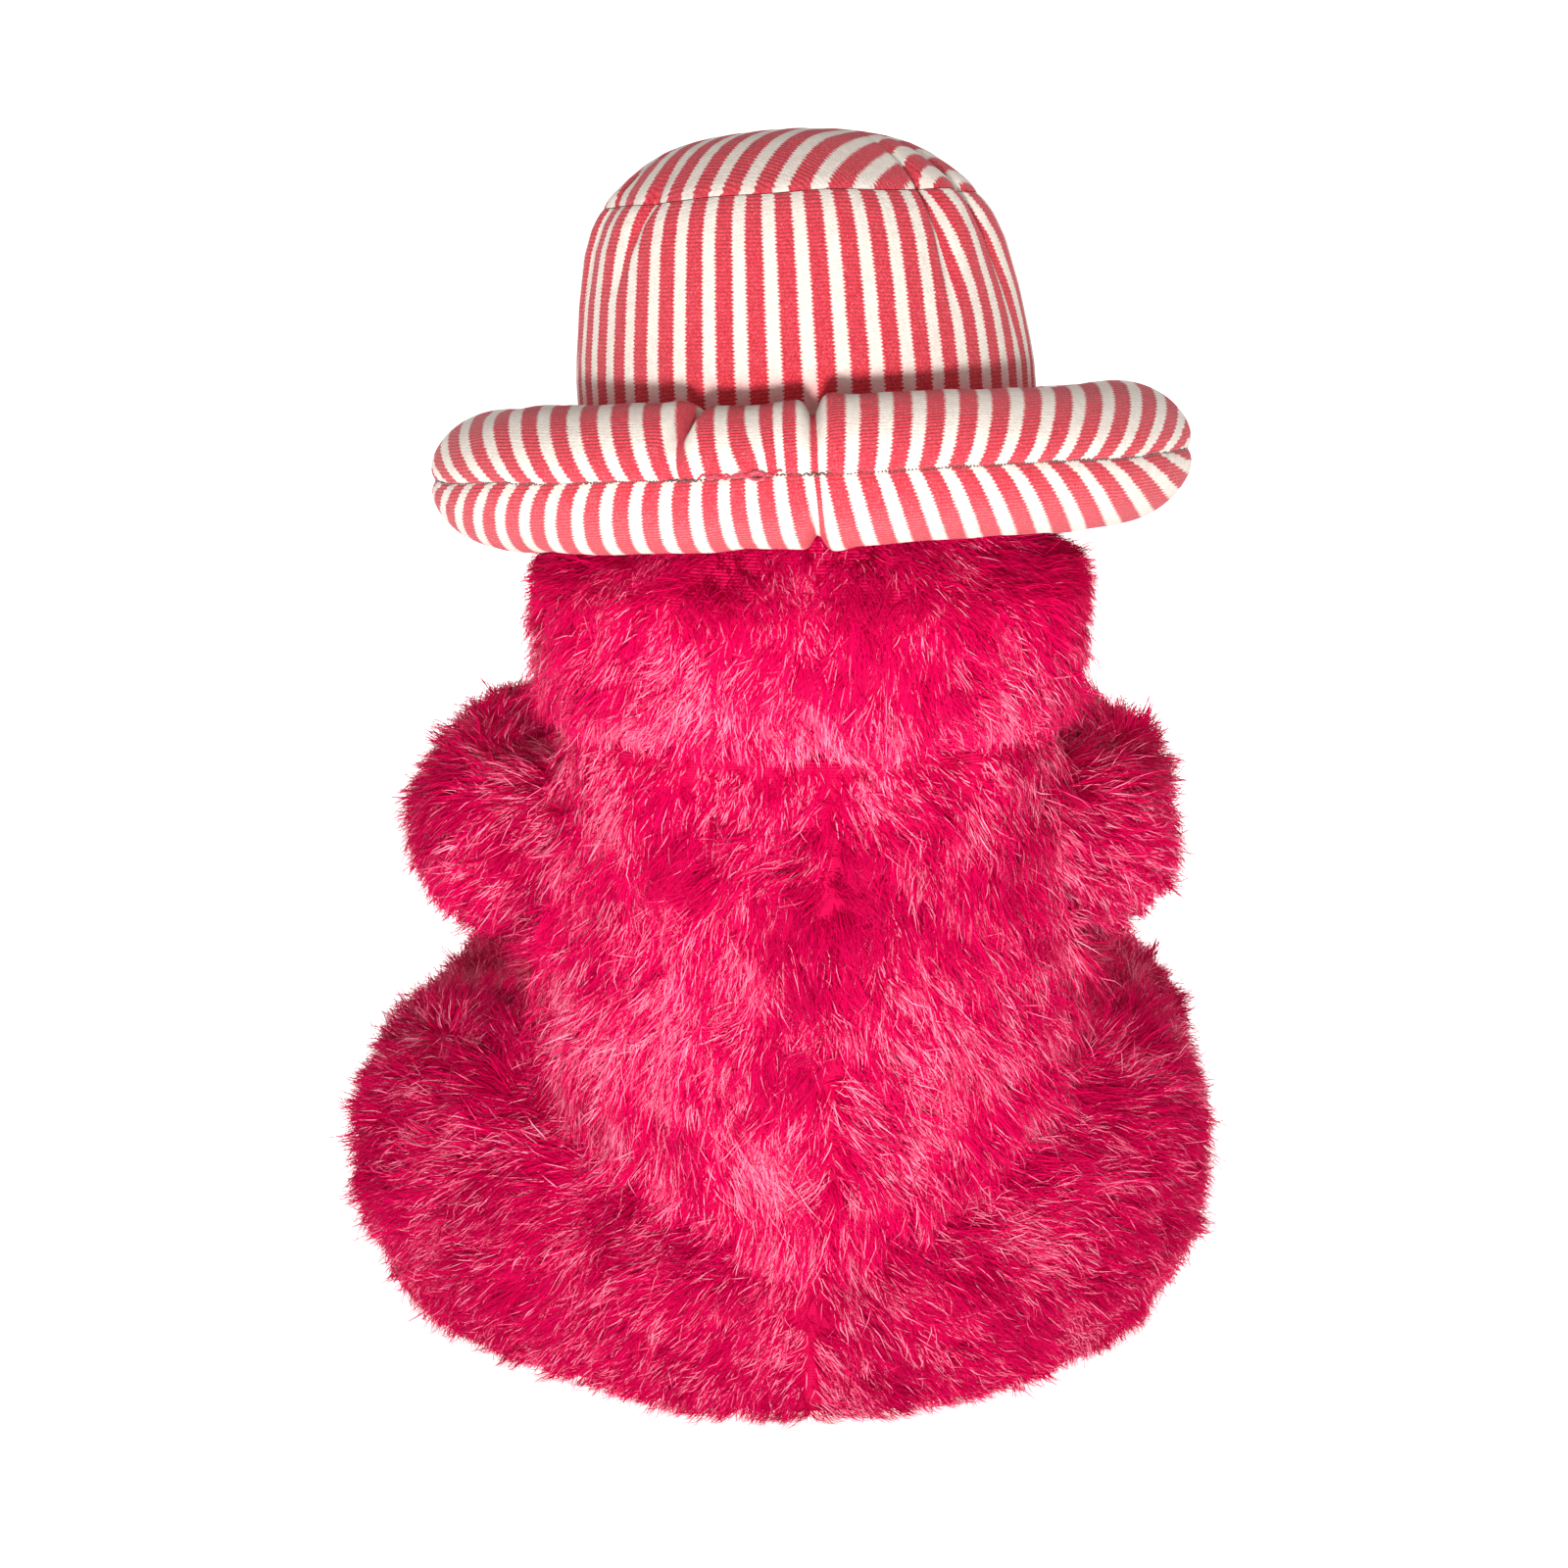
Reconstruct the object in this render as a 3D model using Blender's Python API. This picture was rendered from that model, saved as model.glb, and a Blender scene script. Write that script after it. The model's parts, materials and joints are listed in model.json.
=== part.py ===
"""Cymbal-playing plush monkey: a seated fur toy in a striped hat, with a battery clockwork in its chest.

Units are metres, +Z is up, the toy faces -Y and its left side is +X. The origin is on the floor,
under the middle of the toy's outline. ORIGIN_SHIFT moves the drawing frame there: in that frame
X is zero at the neck, and Y is zero at the neck and at the shoulder pivots.
"""

from math import cos, pi, radians, sin, sqrt, tau

import bmesh
import bpy
from mathutils import Matrix, Vector

MM = 0.001
ORIGIN_SHIFT = Vector((-6.61, 28.66, 0)) * MM
GAP = 0.3 * MM  # between pieces that touch
SLIDE = 0.6 * MM  # between pieces that move past each other
SEWN = 1.2 * MM  # between stuffed pieces, whose covers aren't flat
ACROSS, ALONG, UP = Vector((1, 0, 0)), Vector((0, 1, 0)), Vector((0, 0, 1))
EYE = Vector((17, -68.7, 206)) * MM

# The stuffed body
SOLE_Y = -120.6 * MM

BODY_SIDES = 22
# Level slices, in mm: height, half width, front, back, corners, and squareness where it isn't 2.15
TORSO = [
    (0, 43, -68, 4, BODY_SIDES, 2.6),
    (14, 50, -71, 16, BODY_SIDES, 2.5),
    (30, 60, -73, 58, BODY_SIDES),
    (46, 67, -74, 66.5, BODY_SIDES),
    (66, 72.5, -74, 68.5, BODY_SIDES),
    (92, 75, -71, 68, BODY_SIDES),
    (122, 75, -65, 65, BODY_SIDES),
    (150, 72, -57, 61, BODY_SIDES),
    (166, 69, -52, 58, BODY_SIDES),
    (175, 65, -46, 54, BODY_SIDES),
]
HEAD = [
    (175.5, 66, -48, 55),
    (181, 70, -56, 60),
    (190, 72.5, -62, 64),
    (203, 73.5, -65, 66),
    (213, 74, -63, 66),
    (219.5, 66, -57, 62),
    (228, 56, -50, 56),
    (241, 50.5, -49, 49),
    (262, 48, -49, 45),
    (281, 42, -45, 36),
    (295, 30, -34, 24),
    (306, 12, -17, 7),
]

# The hat, drawn round its own axis with z zero in the middle of the brim
HAT_CENTRE = Vector((-0.4 * MM, -2 * MM, 240 * MM))
HAT_PITCH = radians(7.3)  # forwards
HAT_ROLL = radians(2.6)  # down on the toy's left
BRIM_RADIUS = 78.4 * MM
BRIM_HALF_WIDTH = 19.8 * MM
BRIM_HALF_HEIGHT = 17.5 * MM
CROWN_BASE = 57 * MM
CROWN_SEAM = 48 * MM
CROWN_SEAM_Z = 66 * MM
CROWN_TOP = 84.5 * MM
FELT = 2.6 * MM

# The drive: two arm levers with meshed sectors, driven by a crank pin in the left lever's slot
PIVOT_X = 30 * MM
CLAP = radians(13)  # from the arms' place at rest to the clap
LEVER_BOTTOM = 142.8 * MM
LEVER_THICK = 3 * MM
CRANK = Vector((PIVOT_X, 28 * MM, 0))
CRANK_RADIUS = 4 * MM
SLOT_ANGLE = radians(95)  # the slot's direction at rest, from +X
MODULE = 0.625 * MM
WHEEL_TEETH = 32
PINION_TEETH = 8
GEAR_SPACING = MODULE * (WHEEL_TEETH + PINION_TEETH) / 2
GEAR_THICK = 2.5 * MM
LEVEL = [130.6 * MM, 133.7 * MM, 136.8 * MM]  # undersides of the three layers of gears
SECTOR_MODULE = 1 * MM
CASE_LOW, CASE_HIGH = Vector((-38, -16, 128)) * MM, Vector((43, 42, 146.4)) * MM
CASE_CORNER = 12 * MM
CASE_WALL = 2 * MM
LID_BOTTOM = 146.7 * MM
LID_TOP = 148.7 * MM
POST_RADIUS = 8 * MM
POST_TOP = 214 * MM

# The cymbals, drawn as they meet
CYMBAL_THICK = 0.9 * MM
CLAP_Y = -120 * MM
CYMBAL_Z = 142 * MM
HALF_CLAP_GAP = 0.8 * MM

# The battery box, let into the seat
BOX_LOW, BOX_HIGH = Vector((-31, -63, 3.4)) * MM, Vector((31, -14, 23)) * MM
BOX_WALL = 1.6 * MM
DOOR_LOW, DOOR_HIGH = Vector((-29, -61, 0.8)) * MM, Vector((29, -16, 3)) * MM
CELL_RADIUS, CELL_LENGTH, CELL_PITCH = 7 * MM, 49 * MM, 15.2 * MM

LID_SCREWS = [(11.25 * MM, 39.5 * MM), (-20 * MM, -13 * MM), (20 * MM, -13 * MM)]

PATHS = {
    # Centre points of a limb, its half width and half height, and how far it leans to the toy's left
    "arm": [
        ((57.5, 1, 144.3), (18, 19), 0),
        ((69, 1, 142), (22, 22.5), 0.6),
        ((80, -12, 136.5), (23.5, 26), 3.6),
        ((82, -40, 141), (22.5, 25), 3),
        ((74, -70, 144), (20, 21), 1.2),
        ((63, -93, 145), (15.5, 16.5), 0),
    ],
    "leg": [
        ((-8, 38, 21), (32, 28), 0),
        ((27, 34, 29), (35.5, 36), 1),
        ((58, 15, 38), (38.5, 41.5), 3.4),
        ((81, -14, 43), (40, 45), 7.2),
        ((85, -48, 40), (37, 44), 6),
        ((84, -82, 39), (34, 42), 3),
        ((83, -104, 42), (34, 41), 0),
        ((83, -118.5, 42), (32, 39), 0),
    ],
    "rod": [
        ((52, 0, 144.3), (2.4, 2.4), 0),
        ((66, 1, 142.5), (2.4, 2.4), 0),
        ((80, -14, 137.5), (2.4, 2.4), 1),
        ((82, -42, 140), (2.4, 2.4), 2),
        ((74, -70, 143), (2.4, 2.4), 1),
        ((63, -95, 144.5), (2.4, 2.4), 0),
        ((50, -115, 143), (2.4, 2.4), 0),
        ((36.4, -121.6, 142), (2.4, 2.4), 0),
    ],
}


# ---------------------------------------------------------------- scene, materials, placing


def clear_scene():
    for old in list(bpy.data.objects):
        bpy.data.objects.remove(old)


def material(name, colour, roughness, metallic=0.0):
    made = bpy.data.materials.new(name)
    made.use_nodes = True
    shader = made.node_tree.nodes["Principled BSDF"]
    shader.inputs["Base Color"].default_value = (*colour, 1)
    shader.inputs["Roughness"].default_value = roughness
    shader.inputs["Metallic"].default_value = metallic
    return made


def make_materials():
    return {
        "fur": material("crimson_fur", (0.57, 0.01, 0.08), 0.75),
        "skin": material("tan_plush", (0.72, 0.45, 0.28), 0.85),
        "hat": material("striped_velour", (0.62, 0.08, 0.1), 0.9),
        "black": material("black_plastic", (0.02, 0.015, 0.015), 0.2),
        "brass": material("brass_plating", (0.8, 0.58, 0.22), 0.25, 1.0),
        "steel": material("steel", (0.6, 0.6, 0.62), 0.3, 1.0),
        "case": material("white_plastic", (0.75, 0.75, 0.72), 0.45),
        "gear": material("gear_plastic", (0.85, 0.82, 0.7), 0.5),
        "board": material("circuit_board", (0.03, 0.2, 0.07), 0.6),
        "cell": material("battery_sleeve", (0.03, 0.03, 0.035), 0.4),
        "paper": material("speaker_cone", (0.05, 0.05, 0.05), 0.9),
    }


def finish(name, bm, mat):
    """A mesh object from bm, its faces pointing out, moved to the toy's own origin."""
    bmesh.ops.remove_doubles(bm, verts=bm.verts, dist=1e-6)
    bmesh.ops.recalc_face_normals(bm, faces=bm.faces)
    bmesh.ops.translate(bm, verts=bm.verts, vec=ORIGIN_SHIFT)
    mesh = bpy.data.meshes.new(name)
    bm.to_mesh(mesh)
    bm.free()
    mesh.materials.append(mat)
    mesh.shade_smooth()
    mesh.set_sharp_from_angle(angle=radians(35))
    made = bpy.data.objects.new(name, mesh)
    bpy.context.scene.collection.objects.link(made)
    return made


def hidden(cutter):
    cutter.hide_render = True
    cutter.display_type = "WIRE"
    return cutter


def combine(target, other, operation):
    step = target.modifiers.new(operation.lower() + "_" + other.name, "BOOLEAN")
    step.object = hidden(other)
    step.operation = operation
    step.solver = "EXACT"


def cut(target, *cutters):
    for cutter in cutters:
        combine(target, cutter, "DIFFERENCE")
    return target


def join(target, *others):
    for other in others:
        combine(target, other, "UNION")
    return target


def turned(bm, centre, axis, angle):
    bmesh.ops.rotate(bm, verts=bm.verts, cent=centre, matrix=Matrix.Rotation(angle, 3, axis))


def mirrored(bm, side):
    """bm as drawn for the left side, or its mirror image for the right."""
    if side < 0:
        bmesh.ops.scale(bm, verts=bm.verts, vec=(-1, 1, 1))
        bmesh.ops.reverse_faces(bm, faces=bm.faces)


def side_name(side):
    return "left" if side > 0 else "right"


# ---------------------------------------------------------------- shapes


def oval(centre, across, up, half_width, half_height, sides, squareness=2.0):
    """The points of a superellipse in the plane of across and up."""
    power = 2 / squareness
    points = []
    for i in range(sides):
        c, s = cos(tau * i / sides), sin(tau * i / sides)
        u = half_width * (abs(c) ** power) * (1 if c >= 0 else -1)
        v = half_height * (abs(s) ** power) * (1 if s >= 0 else -1)
        points.append(centre + across * u + up * v)
    return points


def loft(rings):
    """A closed solid through rings of equally many points, with flat ends."""
    bm = bmesh.new()
    loops = [[bm.verts.new(p) for p in ring] for ring in rings]
    edges = [[bm.edges.new((r[i - 1], r[i])) for i in range(len(r))] for r in loops]
    for low, high in zip(edges, edges[1:]):
        bmesh.ops.bridge_loops(bm, edges=low + high)
    for end in (loops[0], loops[-1]):
        bm.faces.new(end)
    bmesh.ops.recalc_face_normals(bm, faces=bm.faces)
    return bm


def slice_at(z, half_width, front, back, sides, squareness=2.15):
    """One level slice of a stuffed body, from its front to its back."""
    centre = Vector((0, (front + back) / 2, z)) * MM
    half_depth = (back - front) / 2 * MM
    return oval(centre, ACROSS, ALONG, half_width * MM, half_depth, sides, squareness)


def catmull(a, b, c, d, t):
    square, cube = 2 * a - 5 * b + 4 * c - d, 3 * b - a - 3 * c + d
    return 0.5 * (2 * b + (c - a) * t + square * t**2 + cube * t**3)


def smooth_path(limb, steps, side):
    """Points, half widths and half heights along a smooth curve through a limb's own points."""
    keys = [
        [(point[0] + lean * side) * MM, point[1] * MM, point[2] * MM, *(r * MM for r in radii)]
        for point, radii, lean in PATHS[limb]
    ]
    keys = [keys[0]] + keys + [keys[-1]]
    stations = []
    for i in range(1, len(keys) - 2):
        stations += [
            [catmull(*(keys[i + k][n] for k in (-1, 0, 1, 2)), j / steps) for n in range(5)]
            for j in range(steps)
        ]
    stations.append(keys[-1])
    return [(Vector(s[:3]), s[3], s[4]) for s in stations]


def limb_rings(limb, side, sides, grow=0.0, round_start=False):
    """Rings of a limb drawn on the left, thicker by grow. A round start closes over in smaller rings."""
    stations = smooth_path(limb, 2, side)
    rings = []
    for i, (point, half_width, half_height) in enumerate(stations):
        before, after = stations[max(i - 1, 0)][0], stations[min(i + 1, len(stations) - 1)][0]
        along = (after - before).normalized()
        across = along.cross(UP).normalized()
        up = across.cross(along)
        shrunk = [(0, 1)]
        if i == 0 and round_start:
            shrunk = [(-sin(a) * 0.55 * half_height, cos(a)) for a in map(radians, (80, 62, 35, 0))]
        for shift, scale in shrunk:
            centre = point + along * shift
            wide, high = (half_width + grow) * scale, (half_height + grow) * scale
            rings.append(oval(centre, across, up, wide, high, sides, 2.2))
    return rings


def flatten(bm):
    """What would reach below the floor is pressed flat on it, as stuffing is."""
    for vert in bm.verts:
        vert.co.z = max(vert.co.z, 0)


def block(low, high, turn=0.0):
    bm = bmesh.new()
    bmesh.ops.create_cube(bm, size=1)
    bmesh.ops.scale(bm, verts=bm.verts, vec=high - low)
    bmesh.ops.translate(bm, verts=bm.verts, vec=(low + high) / 2)
    if turn:
        turned(bm, (low + high) / 2, "Z", turn)
    return bm


def box_at(x0, x1, y0, y1, z0, z1):
    return block(Vector((x0, y0, z0)) * MM, Vector((x1, y1, z1)) * MM)


def rod(start, end, radius, sides=16, end_radius=None):
    """A straight round bar or cone between two points."""
    way = end - start
    bm = bmesh.new()
    bmesh.ops.create_cone(
        bm,
        cap_ends=True,
        segments=sides,
        radius1=radius,
        radius2=radius if end_radius is None else end_radius,
        depth=way.length,
    )
    turn = UP.rotation_difference(way).to_matrix()
    bmesh.ops.rotate(bm, verts=bm.verts, matrix=turn)
    bmesh.ops.translate(bm, verts=bm.verts, vec=(start + end) / 2)
    return bm


def pin(x, y, z0, z1, radius, sides=16):
    return rod(Vector((x, y, z0)), Vector((x, y, z1)), radius, sides)


def ball(centre, radii, sides=20, rings=12):
    bm = bmesh.new()
    bmesh.ops.create_uvsphere(bm, u_segments=sides, v_segments=rings, radius=1)
    bmesh.ops.scale(bm, verts=bm.verts, vec=radii)
    bmesh.ops.translate(bm, verts=bm.verts, vec=centre)
    return bm


def turned_profile(profile, sides):
    """A solid of revolution about Z through (radius, height) points, closed on itself."""
    bm = bmesh.new()
    loop = [bm.verts.new((r, 0, z)) for r, z in profile]
    edges = [bm.edges.new((loop[i - 1], loop[i])) for i in range(len(loop))]
    bmesh.ops.spin(
        bm, geom=loop + edges, cent=(0, 0, 0), axis=(0, 0, 1), angle=tau, steps=sides, use_duplicate=False
    )
    bmesh.ops.remove_doubles(bm, verts=bm.verts, dist=1e-6)
    flat = [e for e in bm.edges if not e.link_faces]
    bmesh.ops.delete(bm, geom=flat, context="EDGES")
    bmesh.ops.dissolve_degenerate(bm, dist=1e-7, edges=bm.edges)
    bmesh.ops.recalc_face_normals(bm, faces=bm.faces)
    return bm


def extruded(outline, z0, z1):
    """A flat outline of (x, y) points made into a plate."""
    bm = bmesh.new()
    face = bm.faces.new([bm.verts.new((x, y, z0)) for x, y in outline])
    raised = bmesh.ops.extrude_face_region(bm, geom=[face])
    tops = [v for v in raised["geom"] if isinstance(v, bmesh.types.BMVert)]
    bmesh.ops.translate(bm, verts=tops, vec=(0, 0, z1 - z0))
    bmesh.ops.recalc_face_normals(bm, faces=bm.faces)
    return bm


def arc(x, y, radius, start, end, steps):
    turns = [start + (end - start) * i / steps for i in range(steps + 1)]
    return [(x + radius * cos(turn), y + radius * sin(turn)) for turn in turns]


def rounded_outline(low, high, corner, inset=0.0):
    """The (x, y) outline of a rounded rectangle, moved in by inset."""
    x0, y0, x1, y1 = low.x + inset, low.y + inset, high.x - inset, high.y - inset
    r = corner - inset
    places = [(x1 - r, y1 - r, 0), (x0 + r, y1 - r, 1), (x0 + r, y0 + r, 2), (x1 - r, y0 + r, 3)]
    corners = [arc(x, y, r, quarter * pi / 2, (quarter + 1) * pi / 2, 5) for x, y, quarter in places]
    return [point for corner in corners for point in corner]


def teeth(module, count, first, number, phase):
    """Points of number teeth from tooth first on, as (radius, angle), for a gear of count teeth."""
    pitch = tau / count
    radius = module * count / 2
    root, tip = radius - 1.15 * module, radius + 0.8 * module
    points = []
    for i in range(first, first + number):
        middle = phase + i * pitch
        points += [
            (root, middle - 0.29 * pitch),
            (tip, middle - 0.1 * pitch),
            (tip, middle + 0.1 * pitch),
            (root, middle + 0.29 * pitch),
        ]
    return points


def gear(x, y, z, module, count, phase, thick=GEAR_THICK):
    outline = [(x + r * cos(a), y + r * sin(a)) for r, a in teeth(module, count, 0, count, phase)]
    return extruded(outline, z, z + thick)


# ---------------------------------------------------------------- the stuffed body


def torso(mats):
    """The body cover: solid stuffing with rooms for the thighs, the arms and the works."""
    body = finish("torso_plush", loft([slice_at(*level) for level in TORSO]), mats["fur"])
    for side in (1, -1):
        thigh = loft(limb_rings("leg", side, 16, grow=SEWN))
        mirrored(thigh, side)
        cut(body, finish(side_name(side) + "_thigh_room", thigh, mats["fur"]))
        room = oval(Vector((45.5, -14, 137.5)) * MM, ALONG, UP, 43 * MM, 33.5 * MM, 18)
        armhole = loft([room, [p + Vector((40 * MM, 0, 0)) for p in room]])
        mirrored(armhole, side)
        cut(body, finish(side_name(side) + "_armhole", armhole, mats["fur"]))
        lever_way = box_at(37, 60, -13, 10, 138, 152)
        mirrored(lever_way, side)
        cut(body, finish(side_name(side) + "_lever_way", lever_way, mats["fur"]))
    rooms = {
        "battery_room": box_at(-32, 32, -64, -13, -5, 33),
        "middle_room": box_at(-31, 31, -48, -4, 25, 120),
        "switch_room": box_at(-10.5, 10.5, -14, -1.5, -5, 12.5),
        "gear_room": extruded(rounded_outline(CASE_LOW, CASE_HIGH, CASE_CORNER, -MM), 101 * MM, 150.2 * MM),
        "post_room": pin(0, 0, 145 * MM, 180 * MM, POST_RADIUS + SLIDE, 20),
    }
    for name, room in rooms.items():
        cut(body, finish(name, room, mats["fur"]))
    return body


def head(mats):
    body = finish("head_plush", loft([slice_at(*level, BODY_SIDES) for level in HEAD]), mats["fur"])
    socket = pin(0, 0, 170 * MM, POST_TOP + MM, POST_RADIUS + SLIDE, 20)
    cut(body, finish("post_socket", socket, mats["fur"]))
    for side in (1, -1):
        cut(body, finish(side_name(side) + "_eye_hole", eye_shank(side, 3.2 * MM), mats["fur"]))
    return body


def face_shape(grow=0.0):
    """The flat oval cheek panel, a lens that lies on the front of the head."""
    return ball(Vector((0, -50, 198)) * MM, Vector((45, 20, 21.5)) * MM + Vector((1, 1, 1)) * grow, 20, 10)


def muzzle_shape(grow=0.0):
    return ball(Vector((0, -66, 183)) * MM, Vector((33, 22, 17)) * MM + Vector((1, 1, 1)) * grow, 18, 10)


def head_shape(name, mat, grow):
    """The front of the head, grown a little, to cut the pieces that are sewn on to it."""
    rings = [slice_at(160, 60 + grow, -40 - grow, 55, BODY_SIDES)]
    for z, half_width, front, back in HEAD[:7]:
        rings.append(slice_at(z, half_width + grow, front - grow, back, BODY_SIDES))
    return finish(name, loft(rings), mat)


def eye_shank(side, radius):
    start = Vector((EYE.x * side, EYE.y + 1 * MM, EYE.z))
    return rod(start, start + Vector((0, 17 * MM, 0)), radius, 12)


def face(mats):
    panel = finish("face_panel", face_shape(), mats["skin"])
    cut(panel, head_shape("head_behind_face", mats["fur"], GAP / MM))
    cut(panel, finish("muzzle_seat", muzzle_shape(GAP), mats["skin"]))
    muzzle = finish("muzzle", muzzle_shape(), mats["skin"])
    cut(muzzle, head_shape("head_behind_muzzle", mats["fur"], GAP / MM))
    for side in (1, -1):
        name = side_name(side)
        cut(panel, finish(name + "_eye_way", eye_shank(side, 3.2 * MM), mats["skin"]))
        seat = ball(Vector((EYE.x * side, EYE.y, EYE.z)), Vector((6.1, 4.3, 6.1)) * MM, 14, 8)
        cut(panel, finish(name + "_eye_seat", seat, mats["skin"]))
        bead = ball(Vector((EYE.x * side, EYE.y, EYE.z)), Vector((5.8, 4, 5.8)) * MM, 14, 8)
        eye = finish(name + "_eye", bead, mats["black"])
        join(eye, finish(name + "_eye_shank", eye_shank(side, 2.4 * MM), mats["black"]))
        ear = ball(Vector((0, 0, 0)), Vector((14, 4.5, 15)) * MM, 16, 8)
        turned(ear, (0, 0, 0), "Z", radians(38))
        bmesh.ops.translate(ear, verts=ear.verts, vec=Vector((60.5, -42, 197)) * MM)
        mirrored(ear, side)
        ear = finish(name + "_ear", ear, mats["skin"])
        cut(ear, head_shape("head_behind_" + name + "_ear", mats["fur"], GAP / MM))
    nose = ball(Vector((0, -87.7, 190.5)) * MM, Vector((6.5, 2.6, 3.6)) * MM, 16, 8)
    nose = finish("nose", nose, mats["black"])
    cut(nose, finish("muzzle_behind_nose", muzzle_shape(GAP), mats["skin"]))


def leg(mats, side):
    name = side_name(side)
    bm = loft(limb_rings("leg", side, 16))
    everything = bm.verts[:] + bm.edges[:] + bm.faces[:]
    bmesh.ops.bisect_plane(bm, geom=everything, plane_co=(GAP, 0, 0), plane_no=(-1, 0, 0), clear_outer=True)
    open_edges = [e for e in bm.edges if len(e.link_faces) == 1]
    bmesh.ops.holes_fill(bm, edges=open_edges, sides=0)
    flatten(bm)
    mirrored(bm, side)
    limb = finish(name + "_leg_plush", bm, mats["fur"])
    sole = oval(Vector((83, 0, 42)) * MM, ACROSS, UP, 30 * MM, 37 * MM, 18)
    ends = [[p + Vector((0, y, 0)) for p in sole] for y in (SOLE_Y, SOLE_Y - 3 * MM)]
    pad = loft(ends)
    mirrored(pad, side)
    finish(name + "_sole", pad, mats["skin"])
    return limb


def arm(mats, side):
    """The sleeve, the hand and the rod through both."""
    name = side_name(side)
    sleeve = loft(limb_rings("arm", side, 14, round_start=True))
    mirrored(sleeve, side)
    sleeve = finish(name + "_arm_plush", sleeve, mats["fur"])
    core = loft(limb_rings("rod", side, 6))
    mirrored(core, side)
    finish(name + "_arm_rod", core, mats["case"])
    channel = loft(limb_rings("rod", side, 6, grow=GAP))
    mirrored(channel, side)
    channel = finish(name + "_rod_channel", channel, mats["case"])
    socket = box_at(44, 61, -6.3, 6.3, 138.2, 150.4)
    mirrored(socket, side)
    cut(sleeve, channel, finish(name + "_socket_room", socket, mats["case"]))
    hand = ball(Vector((0, 0, 0)), Vector((15.5, 19, 17)) * MM, 16, 10)
    turned(hand, (0, 0, 0), "Z", radians(38))
    bmesh.ops.translate(hand, verts=hand.verts, vec=Vector((54.5, -107, 144)) * MM)
    mirrored(hand, side)
    hand = finish(name + "_hand", hand, mats["skin"])
    cuff = loft(limb_rings("arm", side, 14, grow=GAP, round_start=True))
    mirrored(cuff, side)
    cut(hand, finish(name + "_cuff_room", cuff, mats["skin"]), channel)


# ---------------------------------------------------------------- the hat


def tilt_hat(bm):
    turned(bm, (0, 0, 0), "X", HAT_PITCH)
    turned(bm, (0, 0, 0), "Y", HAT_ROLL)
    bmesh.ops.translate(bm, verts=bm.verts, vec=HAT_CENTRE)


def hat(mats):
    """The crown, one shell of felted cloth with its top disc, and the stuffed roll of the brim."""
    dome = [(radians(a), sin(radians(a))) for a in (0, 35, 65)]
    rise = CROWN_TOP - CROWN_SEAM_Z
    outer = [(CROWN_BASE, -1 * MM), (CROWN_BASE + 1.8 * MM, 16 * MM), (56.4 * MM, 40 * MM)]
    outer += [(CROWN_SEAM + 3.4 * MM, 58 * MM)]
    outer += [(CROWN_SEAM * cos(a), CROWN_SEAM_Z + rise * s) for a, s in dome] + [(0, CROWN_TOP)]
    inner = [(max(r - FELT, 0), z - (FELT if z > CROWN_SEAM_Z else 0)) for r, z in reversed(outer)]
    crown = turned_profile(outer + inner, 28)
    tilt_hat(crown)
    finish("hat_crown", crown, mats["hat"])
    turns = [tau * i / 10 for i in range(10)]
    roll = [(BRIM_RADIUS + BRIM_HALF_WIDTH * cos(turn), BRIM_HALF_HEIGHT * sin(turn)) for turn in turns]
    brim = turned_profile(roll, 32)
    tilt_hat(brim)
    finish("hat_brim", brim, mats["hat"])


# ---------------------------------------------------------------- cymbals


def cymbal(mats, side):
    name = side_name(side)
    shape = [(2.2, 6.3), (6, 6.1), (10, 4.6), (12.5, 2.9), (20, 1.5), (30, 0)]
    lower = [(r * MM, z * MM) for r, z in shape]
    upper = [(r, z + CYMBAL_THICK) for r, z in reversed(lower)]
    place_on_arm(turned_profile(lower + upper, 24), side, name + "_cymbal", mats["brass"])
    shape = [(0, 3.4), (3.2, 3.8), (4.4, 5.2), (4.4, 5.7), (1.7, 5.9), (1.7, 7.6), (0, 7.6)]
    rivet = turned_profile([(r * MM, z * MM) for r, z in shape], 14)
    place_on_arm(rivet, side, name + "_cymbal_rivet", mats["steel"])


def place_on_arm(bm, side, name, mat):
    """Moves a piece drawn on a cymbal's axis to where the cymbals meet, then swings it to rest."""
    turned(bm, (0, 0, 0), "Y", pi / 2)
    bmesh.ops.translate(bm, verts=bm.verts, vec=(HALF_CLAP_GAP, CLAP_Y, CYMBAL_Z))
    turned(bm, (PIVOT_X, 0, 0), "Z", CLAP)
    mirrored(bm, side)
    finish(name, bm, mat)


# ---------------------------------------------------------------- the drive in the chest


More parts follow.
